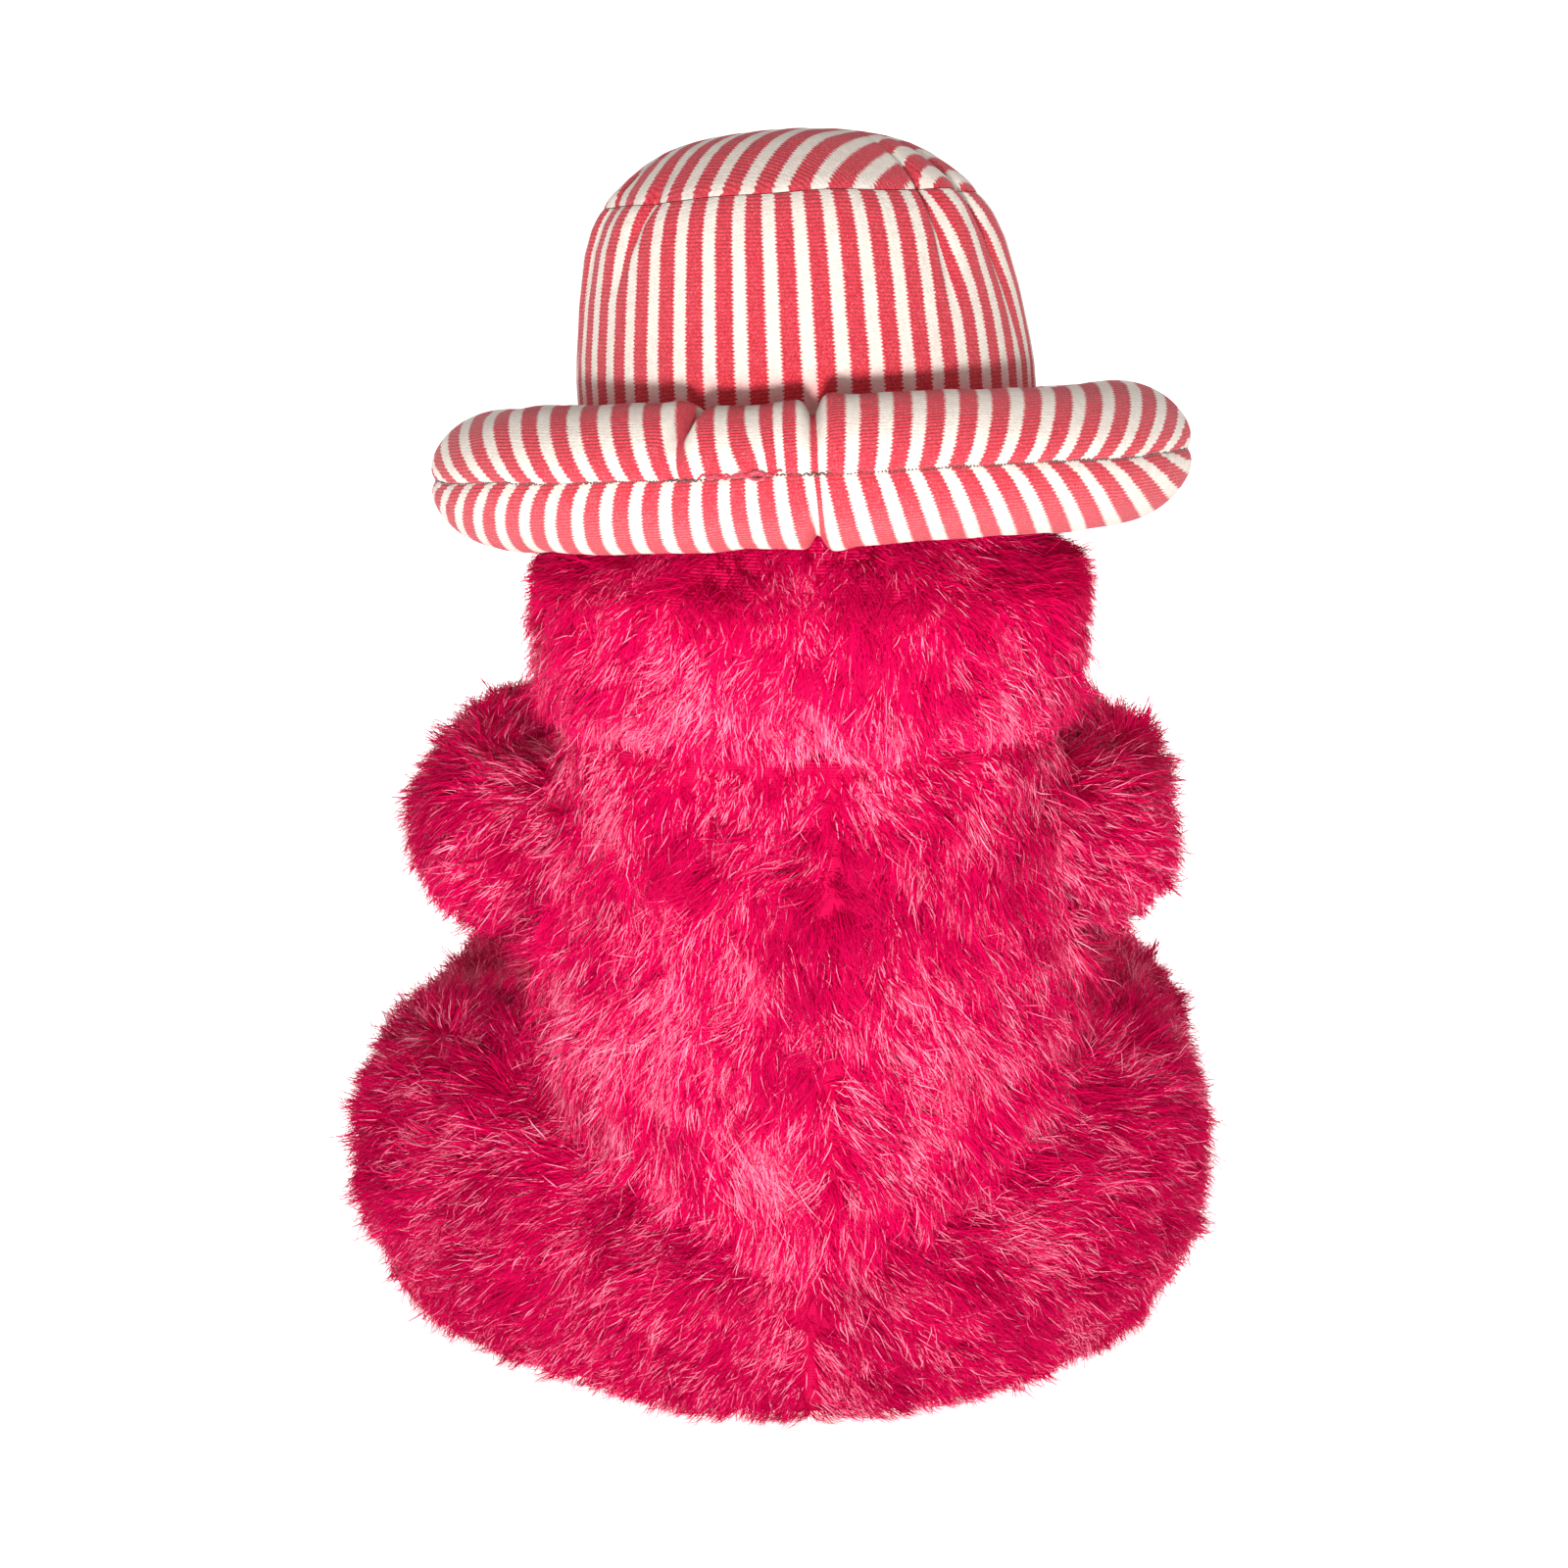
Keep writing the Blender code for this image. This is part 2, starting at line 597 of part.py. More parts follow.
def lever(mats, side):
    """An arm lever: hub, toothed sector towards the middle, and the socket that holds the arm rod."""
    name = side_name(side)
    top = LEVER_BOTTOM + LEVER_THICK
    count = round(2 * PIVOT_X / SECTOR_MODULE)
    phase = pi if side > 0 else pi + pi / count
    rim = teeth(SECTOR_MODULE, count, -2, 6, phase)
    outline = [(PIVOT_X + r * cos(a), r * sin(a)) for r, a in rim]
    outline += arc(PIVOT_X, 0, 4 * MM, rim[-1][1], rim[0][1], 4)
    shapes = {
        "arm_lever": extruded(outline, LEVER_BOTTOM, top),
        "lever_hub": pin(PIVOT_X, 0, LEVER_BOTTOM, top, 5.5 * MM, 20),
        "lever_web": box_at(31, 50, -4, 4, LEVER_BOTTOM / MM, top / MM),
        "lever_socket": box_at(48.5, 60, -5.5, 5.5, 139, 149.6),
        "lever_bore": pin(PIVOT_X, 0, LEVER_BOTTOM - MM, top + MM, 1.7 * MM, 16),
        "rod_hole": loft(limb_rings("rod", side, 6, grow=GAP)),
    }
    if side > 0:
        shapes["lever_tail"] = slotted_bar(4 * MM, 33.4 * MM, 3.4 * MM, LEVER_BOTTOM, top)
        shapes["lever_slot"] = slotted_bar(23.6 * MM, 32.4 * MM, 1.8 * MM, LEVER_BOTTOM - MM, top + MM)
    pieces = {}
    for part, bm in shapes.items():
        mirrored(bm, side)
        pieces[part] = finish(name + "_" + part, bm, mats["gear"])
    piece = pieces["arm_lever"]
    solids = ("lever_hub", "lever_web", "lever_socket", "lever_tail")
    holes = ("lever_slot", "lever_bore", "rod_hole")
    join(piece, *(pieces[part] for part in solids if part in pieces))
    cut(piece, *(pieces[part] for part in holes if part in pieces))
    shaft = pin(PIVOT_X, 0, CASE_LOW.z + CASE_WALL + GAP, LID_BOTTOM - GAP, 1.45 * MM, 16)
    mirrored(shaft, side)
    finish(name + "_lever_shaft", shaft, mats["steel"])


def slotted_bar(start, end, half_width, z0, z1):
    """A bar with round ends along the slot's direction, measured from the left pivot."""
    outline = arc(0, end, half_width, 0, pi, 6) + arc(0, start, half_width, pi, tau, 6)
    bm = extruded(outline, z0, z1)
    turned(bm, (0, 0, 0), "Z", SLOT_ANGLE - pi / 2)
    bmesh.ops.translate(bm, verts=bm.verts, vec=(PIVOT_X, 0, 0))
    return bm


def pierced(piece, x, y, z0, z1, radius):
    """The piece with an upright hole through it from z0 to z1."""
    hole = pin(x, y, z0 - MM, z1 + MM, radius, 12)
    return cut(piece, finish(piece.name + "_bore", hole, piece.data.materials[0]))


def gear_train(mats):
    """Motor pinion, two compound gears and the crank gear, each on its own pin.

    Each pinion has a tooth towards the next wheel, on +X, and that wheel has a space there, on -X.
    """
    space = pi + pi / WHEEL_TEETH
    y = CRANK.y
    floor = CASE_LOW.z + CASE_WALL + GAP
    motor_x, first_x, second_x = (CRANK.x - GEAR_SPACING * n for n in (3, 2, 1))
    pinion = finish("motor_pinion", gear(motor_x, y, LEVEL[0], MODULE, PINION_TEETH, 0), mats["brass"])
    join(pinion, finish("motor_shaft", pin(motor_x, y, 127.7 * MM, LEVEL[0] + MM, MM, 12), mats["steel"]))
    for number, x, level in (("first", first_x, 0), ("second", second_x, 1)):
        low, high = LEVEL[level], LEVEL[level + 1] + GEAR_THICK
        wheel = finish(number + "_compound_gear", gear(x, y, low, MODULE, WHEEL_TEETH, space), mats["gear"])
        overlap = low + GEAR_THICK - 0.4 * MM
        small = gear(x, y, overlap, MODULE, PINION_TEETH, 0, high - overlap)
        join(wheel, finish(number + "_small_gear", small, mats["gear"]))
        pierced(wheel, x, y, low, high, 1.25 * MM)
        finish(number + "_gear_axle", pin(x, y, floor, high + 0.6 * MM, 0.95 * MM, 12), mats["steel"])
    low, high = LEVEL[2], LEVEL[2] + GEAR_THICK
    crank = finish("crank_gear", gear(CRANK.x, y, low, MODULE, WHEEL_TEETH, space), mats["gear"])
    pierced(crank, CRANK.x, y, low, high, 1.25 * MM)
    finish("crank_axle", pin(CRANK.x, y, floor, high + 0.6 * MM, 0.95 * MM, 12), mats["steel"])
    place = crank_pin_place()
    hole = pin(place.x, place.y, low - MM, high + MM, 1.4 * MM, 12)
    cut(crank, finish("crank_pin_hole", hole, mats["gear"]))
    shank = pin(place.x, place.y, low + 0.2 * MM, LEVER_BOTTOM - GAP, 1.1 * MM, 12)
    finish("crank_pin", shank, mats["steel"])


def crank_pin_place():
    """Where the slot at rest crosses the circle that the crank pin runs on, nearer the lever's pivot."""
    reach = Vector((cos(SLOT_ANGLE), sin(SLOT_ANGLE), 0))
    pivot = Vector((PIVOT_X, 0, 0))
    along = (CRANK - pivot).dot(reach)
    off_line = (CRANK - pivot - reach * along).length
    return pivot + reach * (along - sqrt(CRANK_RADIUS**2 - off_line**2))


def drive_case(mats):
    """The tray the gears stand in, its lid, the motor under it and the neck post on the lid."""
    outer = rounded_outline(CASE_LOW, CASE_HIGH, CASE_CORNER)
    inner = rounded_outline(CASE_LOW, CASE_HIGH, CASE_CORNER, CASE_WALL)
    motor_x = CRANK.x - 3 * GEAR_SPACING
    tray = finish("gearbox_tray", extruded(outer, CASE_LOW.z, CASE_HIGH.z), mats["case"])
    well = finish("gear_well", extruded(inner, CASE_LOW.z + CASE_WALL, CASE_HIGH.z + MM), mats["case"])
    notch = finish("lever_notch", box_at(-60, 60, -8, 8, LEVER_BOTTOM / MM - 0.8, 160), mats["case"])
    shaft_hole = pin(motor_x, CRANK.y, 120 * MM, 131 * MM, 3.4 * MM, 16)
    cut(tray, well, notch, finish("shaft_hole", shaft_hole, mats["case"]))
    lid = finish("gearbox_lid", extruded(outer, LID_BOTTOM, LID_TOP), mats["case"])
    cut(lid, finish("peg_hole", pin(0, 0, 140 * MM, 155 * MM, 5.3 * MM, 16), mats["case"]))
    for number, (x, y) in enumerate(LID_SCREWS, 1):
        boss = pin(x, y, CASE_LOW.z + MM, CASE_HIGH.z, 2.4 * MM, 12)
        join(tray, finish(f"screw_boss_{number}", boss, mats["case"]))
        hole = finish(f"screw_hole_{number}", pin(x, y, 138 * MM, 155 * MM, 1.3 * MM, 12), mats["case"])
        cut(tray, hole)
        cut(lid, hole)
        screw = finish(f"gearbox_screw_{number}", pin(x, y, 139 * MM, 149.3 * MM, MM, 12), mats["steel"])
        head_pin = pin(x, y, LID_TOP + GAP, LID_TOP + 1.2 * MM, 2.2 * MM, 12)
        join(screw, finish(f"screw_head_{number}", head_pin, mats["steel"]))
    can_outline = rounded_outline(Vector((-17.5, 20.5)) * MM, Vector((2.5, 35.5)) * MM, 7 * MM)
    can = extruded(can_outline, 102.5 * MM, 127.4 * MM)
    finish("motor", can, mats["steel"])
    post = finish("neck_post", pin(0, 0, LID_TOP + GAP, POST_TOP, POST_RADIUS, 16), mats["case"])
    join(post, finish("neck_peg", pin(0, 0, LID_BOTTOM + GAP, 150 * MM, 5 * MM, 16), mats["case"]))


# ---------------------------------------------------------------- electrics


def battery_box(mats):
    """Three cells side by side in a box that is open downwards, over its screwed door."""
    box = finish("battery_box", block(BOX_LOW, BOX_HIGH), mats["case"])
    wall = Vector((BOX_WALL, BOX_WALL, 0))
    well = block(BOX_LOW + wall - Vector((0, 0, MM)), BOX_HIGH - wall - Vector((0, 0, BOX_WALL)))
    cut(box, finish("cell_well", well, mats["case"]))
    middle_y = (BOX_LOW.y + BOX_HIGH.y) / 2
    for number, way in ((1, 1), (2, -1), (3, 1)):
        row_y = middle_y + (number - 2) * CELL_PITCH
        middle = Vector((way * 1.2 * MM, row_y, BOX_LOW.z + 1.5 * MM + CELL_RADIUS))
        half = Vector((way * CELL_LENGTH / 2, 0, 0))
        ahead = Vector((way * MM, 0, 0))
        cell = finish(f"cell_{number}", rod(middle - half, middle + half, CELL_RADIUS, 16), mats["cell"])
        nub = rod(middle + half - ahead, middle + half + ahead * 1.2, 2.7 * MM, 10)
        join(cell, finish(f"cell_nub_{number}", nub, mats["cell"]))
        back = middle - half - ahead * 0.3
        spring = rod(back - ahead * 2.6, back, 4.6 * MM, 12, 2.6 * MM)
        finish(f"cell_spring_{number}", spring, mats["steel"])
    door = finish("battery_door", block(DOOR_LOW, DOOR_HIGH), mats["case"])
    screw_x, screw_y = 0, DOOR_LOW.y + 4 * MM
    pierced(door, screw_x, screw_y, DOOR_LOW.z, DOOR_HIGH.z, 1.8 * MM)
    screw = pin(screw_x, screw_y, DOOR_LOW.z + 0.1 * MM, DOOR_HIGH.z - 0.1 * MM, 1.4 * MM, 12)
    finish("battery_door_screw", screw, mats["steel"])


def electrics(mats):
    """The loudspeaker behind the belly, the circuit board, and the switch beside the battery box."""
    cone = [(0, 4), (5, 4), (15, 0.6), (17.4, 0.6), (17.4, 3), (10, 9), (10, 14), (0, 14)]
    speaker = turned_profile([(r * MM, z * MM) for r, z in cone], 24)
    turned(speaker, (0, 0, 0), "X", -pi / 2)
    bmesh.ops.translate(speaker, verts=speaker.verts, vec=Vector((0, -46, 78)) * MM)
    finish("speaker", speaker, mats["paper"])
    finish("circuit_board", box_at(-22, 22, -30, -6, 54, 55.6), mats["board"])
    case = finish("switch_case", box_at(-9.5, 9.5, -12.8, -2.5, 3.2, 11.5), mats["black"])
    cut(case, finish("switch_slot", box_at(-5.2, 5.2, -9.9, -5.4, 2, 6), mats["black"]))
    finish("switch_knob", box_at(-4.8, -0.8, -9.5, -5.8, 1, 5.6), mats["case"])


def foot_button(mats):
    """The press switch in the left foot: a cap in a round case, behind the sole. Returns its pocket."""

    def disc(y0, y1, radius, sides=20):
        return rod(Vector((83 * MM, y0, 42 * MM)), Vector((83 * MM, y1, 42 * MM)), radius, sides)

    back = -107 * MM
    case = finish("button_case", disc(back, back - 7.8 * MM, 13.4 * MM), mats["case"])
    cut(case, finish("button_well", disc(back - 2 * MM, back - 12 * MM, 11.2 * MM), mats["case"]))
    finish("button_cap", disc(back - 4.4 * MM, back - 9.8 * MM, 10.6 * MM), mats["case"])
    return finish("button_pocket", disc(back + 0.4 * MM, back - 14 * MM, 14 * MM), mats["fur"])


# ---------------------------------------------------------------- what moves


def hang(name, place, pieces):
    """Puts an empty on a joint's axis and parents the pieces that move about it."""
    pivot = bpy.data.objects.new(name, None)
    pivot.location = place + ORIGIN_SHIFT
    bpy.context.scene.collection.objects.link(pivot)
    for piece in pieces:
        child = bpy.data.objects[piece]
        child.parent = pivot
        child.matrix_parent_inverse = Matrix.Translation(-pivot.location)


def hang_moving_pieces():
    for side in (1, -1):
        parts = ("arm_lever", "arm_rod", "arm_plush", "hand", "cymbal", "cymbal_rivet")
        place = Vector((side * PIVOT_X, 0, LEVER_BOTTOM))
        hang(side_name(side) + "_arm_pivot", place, [side_name(side) + "_" + part for part in parts])
    features = ["face_panel", "muzzle", "nose", "left_eye", "right_eye", "left_ear", "right_ear"]
    hang("head_pivot", Vector((0, 0, 175 * MM)), ["head_plush", "hat_crown", "hat_brim", *features])
    hang("crank_pivot", Vector((CRANK.x, CRANK.y, LEVEL[2])), ["crank_gear", "crank_pin"])
    turning = ((1, 1, "second_compound_gear"), (2, 0, "first_compound_gear"), (3, 0, "motor_pinion"))
    for steps, level, piece in turning:
        hang(piece + "_pivot", Vector((CRANK.x - steps * GEAR_SPACING, CRANK.y, LEVEL[level])), [piece])


def main():
    clear_scene()
    mats = make_materials()
    torso(mats)
    head(mats)
    face(mats)
    left_leg = leg(mats, 1)
    leg(mats, -1)
    cut(left_leg, foot_button(mats))
    for side in (1, -1):
        arm(mats, side)
        cymbal(mats, side)
        lever(mats, side)
    hat(mats)
    gear_train(mats)
    drive_case(mats)
    battery_box(mats)
    electrics(mats)
    hang_moving_pieces()


main()
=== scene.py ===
"""Looks for the seated plush monkey with cymbals: long crimson fur, a striped velour hat, brass cymbals."""

import json
from math import cos, pi, radians, sin, sqrt, tau

import bmesh
import bpy
import numpy as np
from mathutils import Matrix, Vector, noise
from mathutils.bvhtree import BVHTree


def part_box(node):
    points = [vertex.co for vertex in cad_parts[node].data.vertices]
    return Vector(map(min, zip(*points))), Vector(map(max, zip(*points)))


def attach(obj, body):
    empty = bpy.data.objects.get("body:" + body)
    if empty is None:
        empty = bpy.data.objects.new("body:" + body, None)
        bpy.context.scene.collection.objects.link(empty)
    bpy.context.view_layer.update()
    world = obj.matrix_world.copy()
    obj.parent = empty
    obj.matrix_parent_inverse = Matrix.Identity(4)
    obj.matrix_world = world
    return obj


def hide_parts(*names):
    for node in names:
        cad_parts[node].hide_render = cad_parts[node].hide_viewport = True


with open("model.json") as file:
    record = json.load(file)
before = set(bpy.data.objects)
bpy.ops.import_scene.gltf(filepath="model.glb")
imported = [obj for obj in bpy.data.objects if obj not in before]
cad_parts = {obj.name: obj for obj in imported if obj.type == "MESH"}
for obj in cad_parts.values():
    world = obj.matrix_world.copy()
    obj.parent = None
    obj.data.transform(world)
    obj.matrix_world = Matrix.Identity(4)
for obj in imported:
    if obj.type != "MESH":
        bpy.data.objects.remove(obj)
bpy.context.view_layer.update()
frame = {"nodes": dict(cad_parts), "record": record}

MM = 0.001
JOINTS = {joint["name"]: joint for joint in frame["record"]["behaviour"]["joints"]}
NECK = np.array(JOINTS["head_turn"]["pos_m"])
AXIS = np.array([NECK[0], NECK[1], 0.0])  # the neck's axis, where it meets the floor
rng = np.random.default_rng(7)
noise.seed_set(7)  # otherwise the clock moves noise_vector's patterns


# ---------------------------------------------------------------- node materials

# Places across the strands' map
SHADED_LAST = 0.74  # dull strands end here
PAINTED_HIGHLIGHT_EDGE = 0.77  # where the colour changes from dull strands to strands with a painted highlight
PAINTED_HIGHLIGHT_FIRST = 0.8  # strands with a painted highlight start here


class Shader:
    """A material's node tree, with a Principled BSDF, built call by call."""

    def __init__(self, name, **settings):
        self.material = bpy.data.materials.new(name)
        self.material.use_nodes = True
        self.tree = self.material.node_tree
        self.principled = self.tree.nodes["Principled BSDF"]
        for socket, value in settings.items():
            self.principled.inputs[socket.replace("_", " ")].default_value = value

    def node(self, kind, inputs=None, **settings):
        made = self.tree.nodes.new("ShaderNode" + kind)
        for key, value in settings.items():
            setattr(made, key, value)
        for key, value in (inputs or {}).items():
            socket = made.inputs[key]
            if isinstance(value, bpy.types.NodeSocket):
                self.tree.links.new(value, socket)
            else:
                socket.default_value = value
        return made

    def math(self, operation, *values, clamp=False):
        return self.node("Math", dict(enumerate(values)), operation=operation, use_clamp=clamp).outputs[0]

    def mix(self, factor, a, b, blend="MIX"):
        made = self.node("Mix", data_type="RGBA", blend_type=blend)
        for socket, value in ((made.inputs[0], factor), (made.inputs[6], a), (made.inputs[7], b)):
            if isinstance(value, bpy.types.NodeSocket):
                self.tree.links.new(value, socket)
            else:
                socket.default_value = value
        return made.outputs[2]

    def noise(self, scale, detail=3.0, roughness=0.6, vector=None, out="Fac"):
        inputs = {"Scale": scale, "Detail": detail, "Roughness": roughness}
        inputs["Vector"] = vector or self.node("TexCoord").outputs["Object"]
        return self.node("TexNoise", inputs).outputs[out]

    def ramp(self, factor, *stops):
        made = self.node("ValToRGB", {"Fac": factor})
        elements = made.color_ramp.elements
        while len(elements) < len(stops):
            elements.new(0.5)
        for element, (position, colour) in zip(elements, stops):
            element.position = position
            element.color = (*colour, 1)
        return made.outputs["Color"]

    def span(self, value, low, high):
        return self.node("MapRange", {"Value": value, "To Min": low, "To Max": high}).outputs[0]

    def bump(self, height, strength, distance):
        made = self.node("Bump", {"Height": height, "Strength": strength, "Distance": distance})
        self.set("Normal", made.outputs[0])

    def set(self, socket, value):
        if isinstance(value, bpy.types.NodeSocket):
            self.tree.links.new(value, self.principled.inputs[socket])
        else:
            self.principled.inputs[socket].default_value = value


def fur_material():
    """Strands, coloured by their map: up it from root to tip, and across it from shaded ones to ones with a
    painted highlight.
    """
    s = Shader("crimson_fur", Roughness=0.5, IOR=1.12, Specular_IOR_Level=0.15)
    s.set("Specular Tint", (1.0, 0.6, 0.75, 1))
    uv = s.node("UVMap", {}, uv_map="OFBake").outputs[0]
    parts = s.node("SeparateXYZ", {"Vector": uv})
    across, up = parts.outputs["X"], parts.outputs["Y"]
    along = s.ramp(
        up,
        (0.0, (0.52, 0.0004, 0.046)),
        (0.3, (0.56, 0.0006, 0.058)),
        (0.75, (0.6, 0.0012, 0.072)),
        (1.0, (0.66, 0.008, 0.095)),
    )
    shades = (0.0, (0.58, 0.45, 0.5)), (0.45, (0.86, 0.8, 0.84)), (SHADED_LAST, (1.0, 1.0, 1.0))
    shade = s.ramp(across, *shades)
    # painted highlight: strands past the edge get a pale pink band partway along them, in place of light
    # glancing off the pile
    varied = s.math("FRACT", s.math("MULTIPLY", across, 37.0))
    painted_highlight = s.ramp(varied, (0.0, (0.74, 0.05, 0.15)), (1.0, (0.9, 0.27, 0.4)))
    is_painted_highlight = s.math("MULTIPLY_ADD", s.math("SUBTRACT", across, PAINTED_HIGHLIGHT_EDGE), 60.0, 0.5, clamp=True)
    middle = s.math("MULTIPLY_ADD", s.math("SUBTRACT", across, PAINTED_HIGHLIGHT_FIRST), 2.7, 0.36)
    from_middle = s.math("ABSOLUTE", s.math("SUBTRACT", up, middle))
    painted_highlight_band = s.math("MULTIPLY_ADD", from_middle, -9.0, 2.3, clamp=True)
    dull = s.mix(1.0, along, shade, "MULTIPLY")
    s.set("Base Color", s.mix(s.math("MULTIPLY", is_painted_highlight, painted_highlight_band), dull, painted_highlight))
    return s.material


def backing_material():
    """The knitted ground the pile is set in."""
    s = Shader("fur_backing", Roughness=0.9, Specular_IOR_Level=0.1)
    where = s.node("TexCoord").outputs["Object"]
    wool = s.noise(900, 4, 0.7, where)
    s.set("Base Color", s.ramp(wool, (0.3, (0.48, 0.0005, 0.05)), (0.7, (0.6, 0.002, 0.07))))
    rows = s.node("TexWave", {"Vector": where, "Scale": 420.0, "Distortion": 1.5}, bands_direction="Z")
    s.bump(s.math("ADD", rows.outputs["Fac"], wool), 0.6, 0.0006)
    return s.material


def striped_material():
    """Velour with woven stripes. The map's first coordinate counts stripes, its second is in metres.

    A painted reflection of the red brim tints the cloth where the second is under 25 mm, which is only at the
    crown's foot, in the brim's shadow.
    """
    sheen = {"Sheen_Weight": 0.12, "Sheen_Roughness": 0.5}
    s = Shader("striped_velour", Roughness=0.9, Specular_IOR_Level=0.25, **sheen)
    uv = s.node("UVMap", {}, uv_map="stripes").outputs[0]
    parts = s.node("SeparateXYZ", {"Vector": uv})
    where = s.node("TexCoord").outputs["Object"]
    rows = s.math("SINE", s.math("MULTIPLY", parts.outputs["Y"], tau / (0.95 * MM)))
    fuzz = s.math("MULTIPLY", s.math("SUBTRACT", s.noise(1300, 2, 0.6, where), 0.5), 0.12)
    across = s.math("FRACT", s.math("ADD", parts.outputs["X"], s.math("MULTIPLY_ADD", rows, 0.034, fuzz)))
    edge = s.math("ABSOLUTE", s.math("SUBTRACT", across, 0.5))
    red = s.math("MULTIPLY_ADD", s.math("SUBTRACT", edge, 0.215), 22.0, 0.5, clamp=True)
    pile = s.noise(2400, 3, 0.75, where)
    mottle = s.noise(420, 4, 0.75, where)
    crimson = s.ramp(
        pile,
        (0.32, (0.36, 0.01, 0.023)),
        (0.48, (0.62, 0.031, 0.057)),
        (0.6, (0.73, 0.08, 0.1)),
        (0.74, (0.88, 0.34, 0.33)),
    )
    ivory = s.ramp(pile, (0.25, (0.64, 0.57, 0.49)), (0.65, (0.82, 0.77, 0.69)))
    combed = s.math("MULTIPLY", s.math("MULTIPLY_ADD", rows, -0.5, 0.5), s.span(mottle, 0.1, 0.75))
    cloth = s.mix(red, ivory, s.mix(combed, crimson, (0.41, 0.012, 0.027, 1)))
    worn = s.mix(1.0, cloth, (0.76, 0.6, 0.6, 1), "MULTIPLY")
    worn = s.mix(s.span(mottle, -0.3, 0.9), cloth, worn)
    # painted reflection: red bounced from the brim into the shadow at the crown's foot
    painted_red_bounce = s.mix(1.0, worn, (1.0, 0.46, 0.52, 1), "MULTIPLY")
    above_foot = s.math("DIVIDE", s.math("SUBTRACT", parts.outputs["Y"], 17 * MM), 8 * MM, clamp=True)
    s.set("Base Color", s.mix(above_foot, painted_red_bounce, worn))
    ribs = s.math("MULTIPLY", rows, s.math("MULTIPLY_ADD", red, 0.3, 0.05))
    s.bump(s.math("ADD", ribs, s.math("ADD", pile, mottle)), 0.7, 0.0006)
    return s.material


def plush_material(name, dark, light):
    """Short-pile plush."""
    s = Shader(name, Roughness=0.9, Sheen_Weight=0.5, Sheen_Roughness=0.4)
    pile = s.noise(1800, 3, 0.7)
    patches = s.noise(160, 3, 0.6)
    mixed = s.math("MULTIPLY_ADD", patches, 0.6, s.math("MULTIPLY", pile, 0.4))
    colour = s.ramp(mixed, (0.3, dark), (0.65, light))
    s.set("Base Color", colour)
    s.bump(s.math("ADD", pile, patches), 0.7, 0.0007)
    return s.material


def plastic_material(name, colour, roughness, grain=900):
    s = Shader(name)
    fine, broad = s.noise(grain, 3), s.noise(60, 4)
    dark = tuple(0.82 * c for c in colour)
    s.set("Base Color", s.ramp(broad, (0.3, dark), (0.7, colour)))
    s.set("Roughness", s.span(broad, roughness * 0.8, roughness * 1.25))
    s.bump(fine, 0.15, 0.0002)
    return s.material


def metal_material(name, dark, light, roughness, turned=False):
    """Plain or lathe-turned metal with a light tarnish."""
    s = Shader(name, Metallic=1.0)
    broad = s.noise(45, 5, 0.65)
    s.set("Base Color", s.ramp(broad, (0.3, dark), (0.72, light)))
    s.set("Roughness", s.span(broad, roughness * 0.7, roughness * 1.5))
    if turned:
        uv = s.node("SeparateXYZ", {"Vector": s.node("UVMap", uv_map="turned").outputs[0]})
        rings = s.math("SINE", s.math("MULTIPLY", uv.outputs["Y"], tau / (1.1 * MM)))
        s.bump(s.math("ADD", rings, s.noise(1500, 2)), 0.35, 0.0002)
    else:
        s.bump(s.noise(1500, 2), 0.1, 0.0002)
    return s.material


FUR = fur_material()
BACKING = backing_material()
STRIPED = striped_material()
TAN = plush_material("tan_plush", (0.5, 0.27, 0.14), (0.78, 0.52, 0.34))
BLACK = plastic_material("black_plastic", (0.012, 0.01, 0.01), 0.12, 400)
BRASS = metal_material("spun_brass", (0.62, 0.4, 0.12), (0.86, 0.65, 0.3), 0.2, turned=True)
STEEL = metal_material("steel", (0.4, 0.4, 0.42), (0.66, 0.66, 0.68), 0.3)
WHITE = plastic_material("white_plastic", (0.75, 0.75, 0.71), 0.45)
GEAR = plastic_material("gear_plastic", (0.85, 0.82, 0.7), 0.45)
BOARD = plastic_material("circuit_board", (0.02, 0.2, 0.06), 0.35)
SLEEVE = plastic_material("battery_sleeve", (0.03, 0.03, 0.035), 0.3)
CONE = plastic_material("speaker_cone", (0.04, 0.04, 0.04), 0.9)
THREAD = plush_material("red_thread", (0.4, 0.01, 0.03), (0.62, 0.03, 0.07))
SEAM_SHADOW_THREAD = plush_material("seam_shadow_thread", (0.03, 0.015, 0.01), (0.08, 0.04, 0.03))
BROWN_THREAD = plush_material("brown_thread", (0.05, 0.018, 0.008), (0.12, 0.045, 0.02))
TAN_THREAD = plush_material("tan_thread", (0.3, 0.13, 0.06), (0.45, 0.22, 0.11))
FELT = plush_material("ivory_felt", (0.7, 0.64, 0.54), (0.86, 0.82, 0.74))


# ---------------------------------------------------------------- meshes


def link(obj):
    bpy.context.scene.collection.objects.link(obj)
    return obj


def evaluated_copy(obj, name):
    """A new object with obj's evaluated mesh. obj itself is removed."""
    graph = bpy.context.evaluated_depsgraph_get()
    mesh = bpy.data.meshes.new_from_object(obj.evaluated_get(graph))
    bpy.data.objects.remove(obj)
    mesh.name = name
    return link(bpy.data.objects.new(name, mesh))


def coordinates(mesh):
    flat = np.empty(len(mesh.vertices) * 3)
    mesh.vertices.foreach_get("co", flat)
    return flat.reshape(-1, 3)


def normals_of(mesh):
    flat = np.empty(len(mesh.vertices) * 3)
    mesh.vertex_normals.foreach_get("vector", flat)
    return flat.reshape(-1, 3)


def move_vertices(mesh, places):
    mesh.vertices.foreach_set("co", np.ascontiguousarray(places, dtype=np.float32).ravel())
    mesh.update()


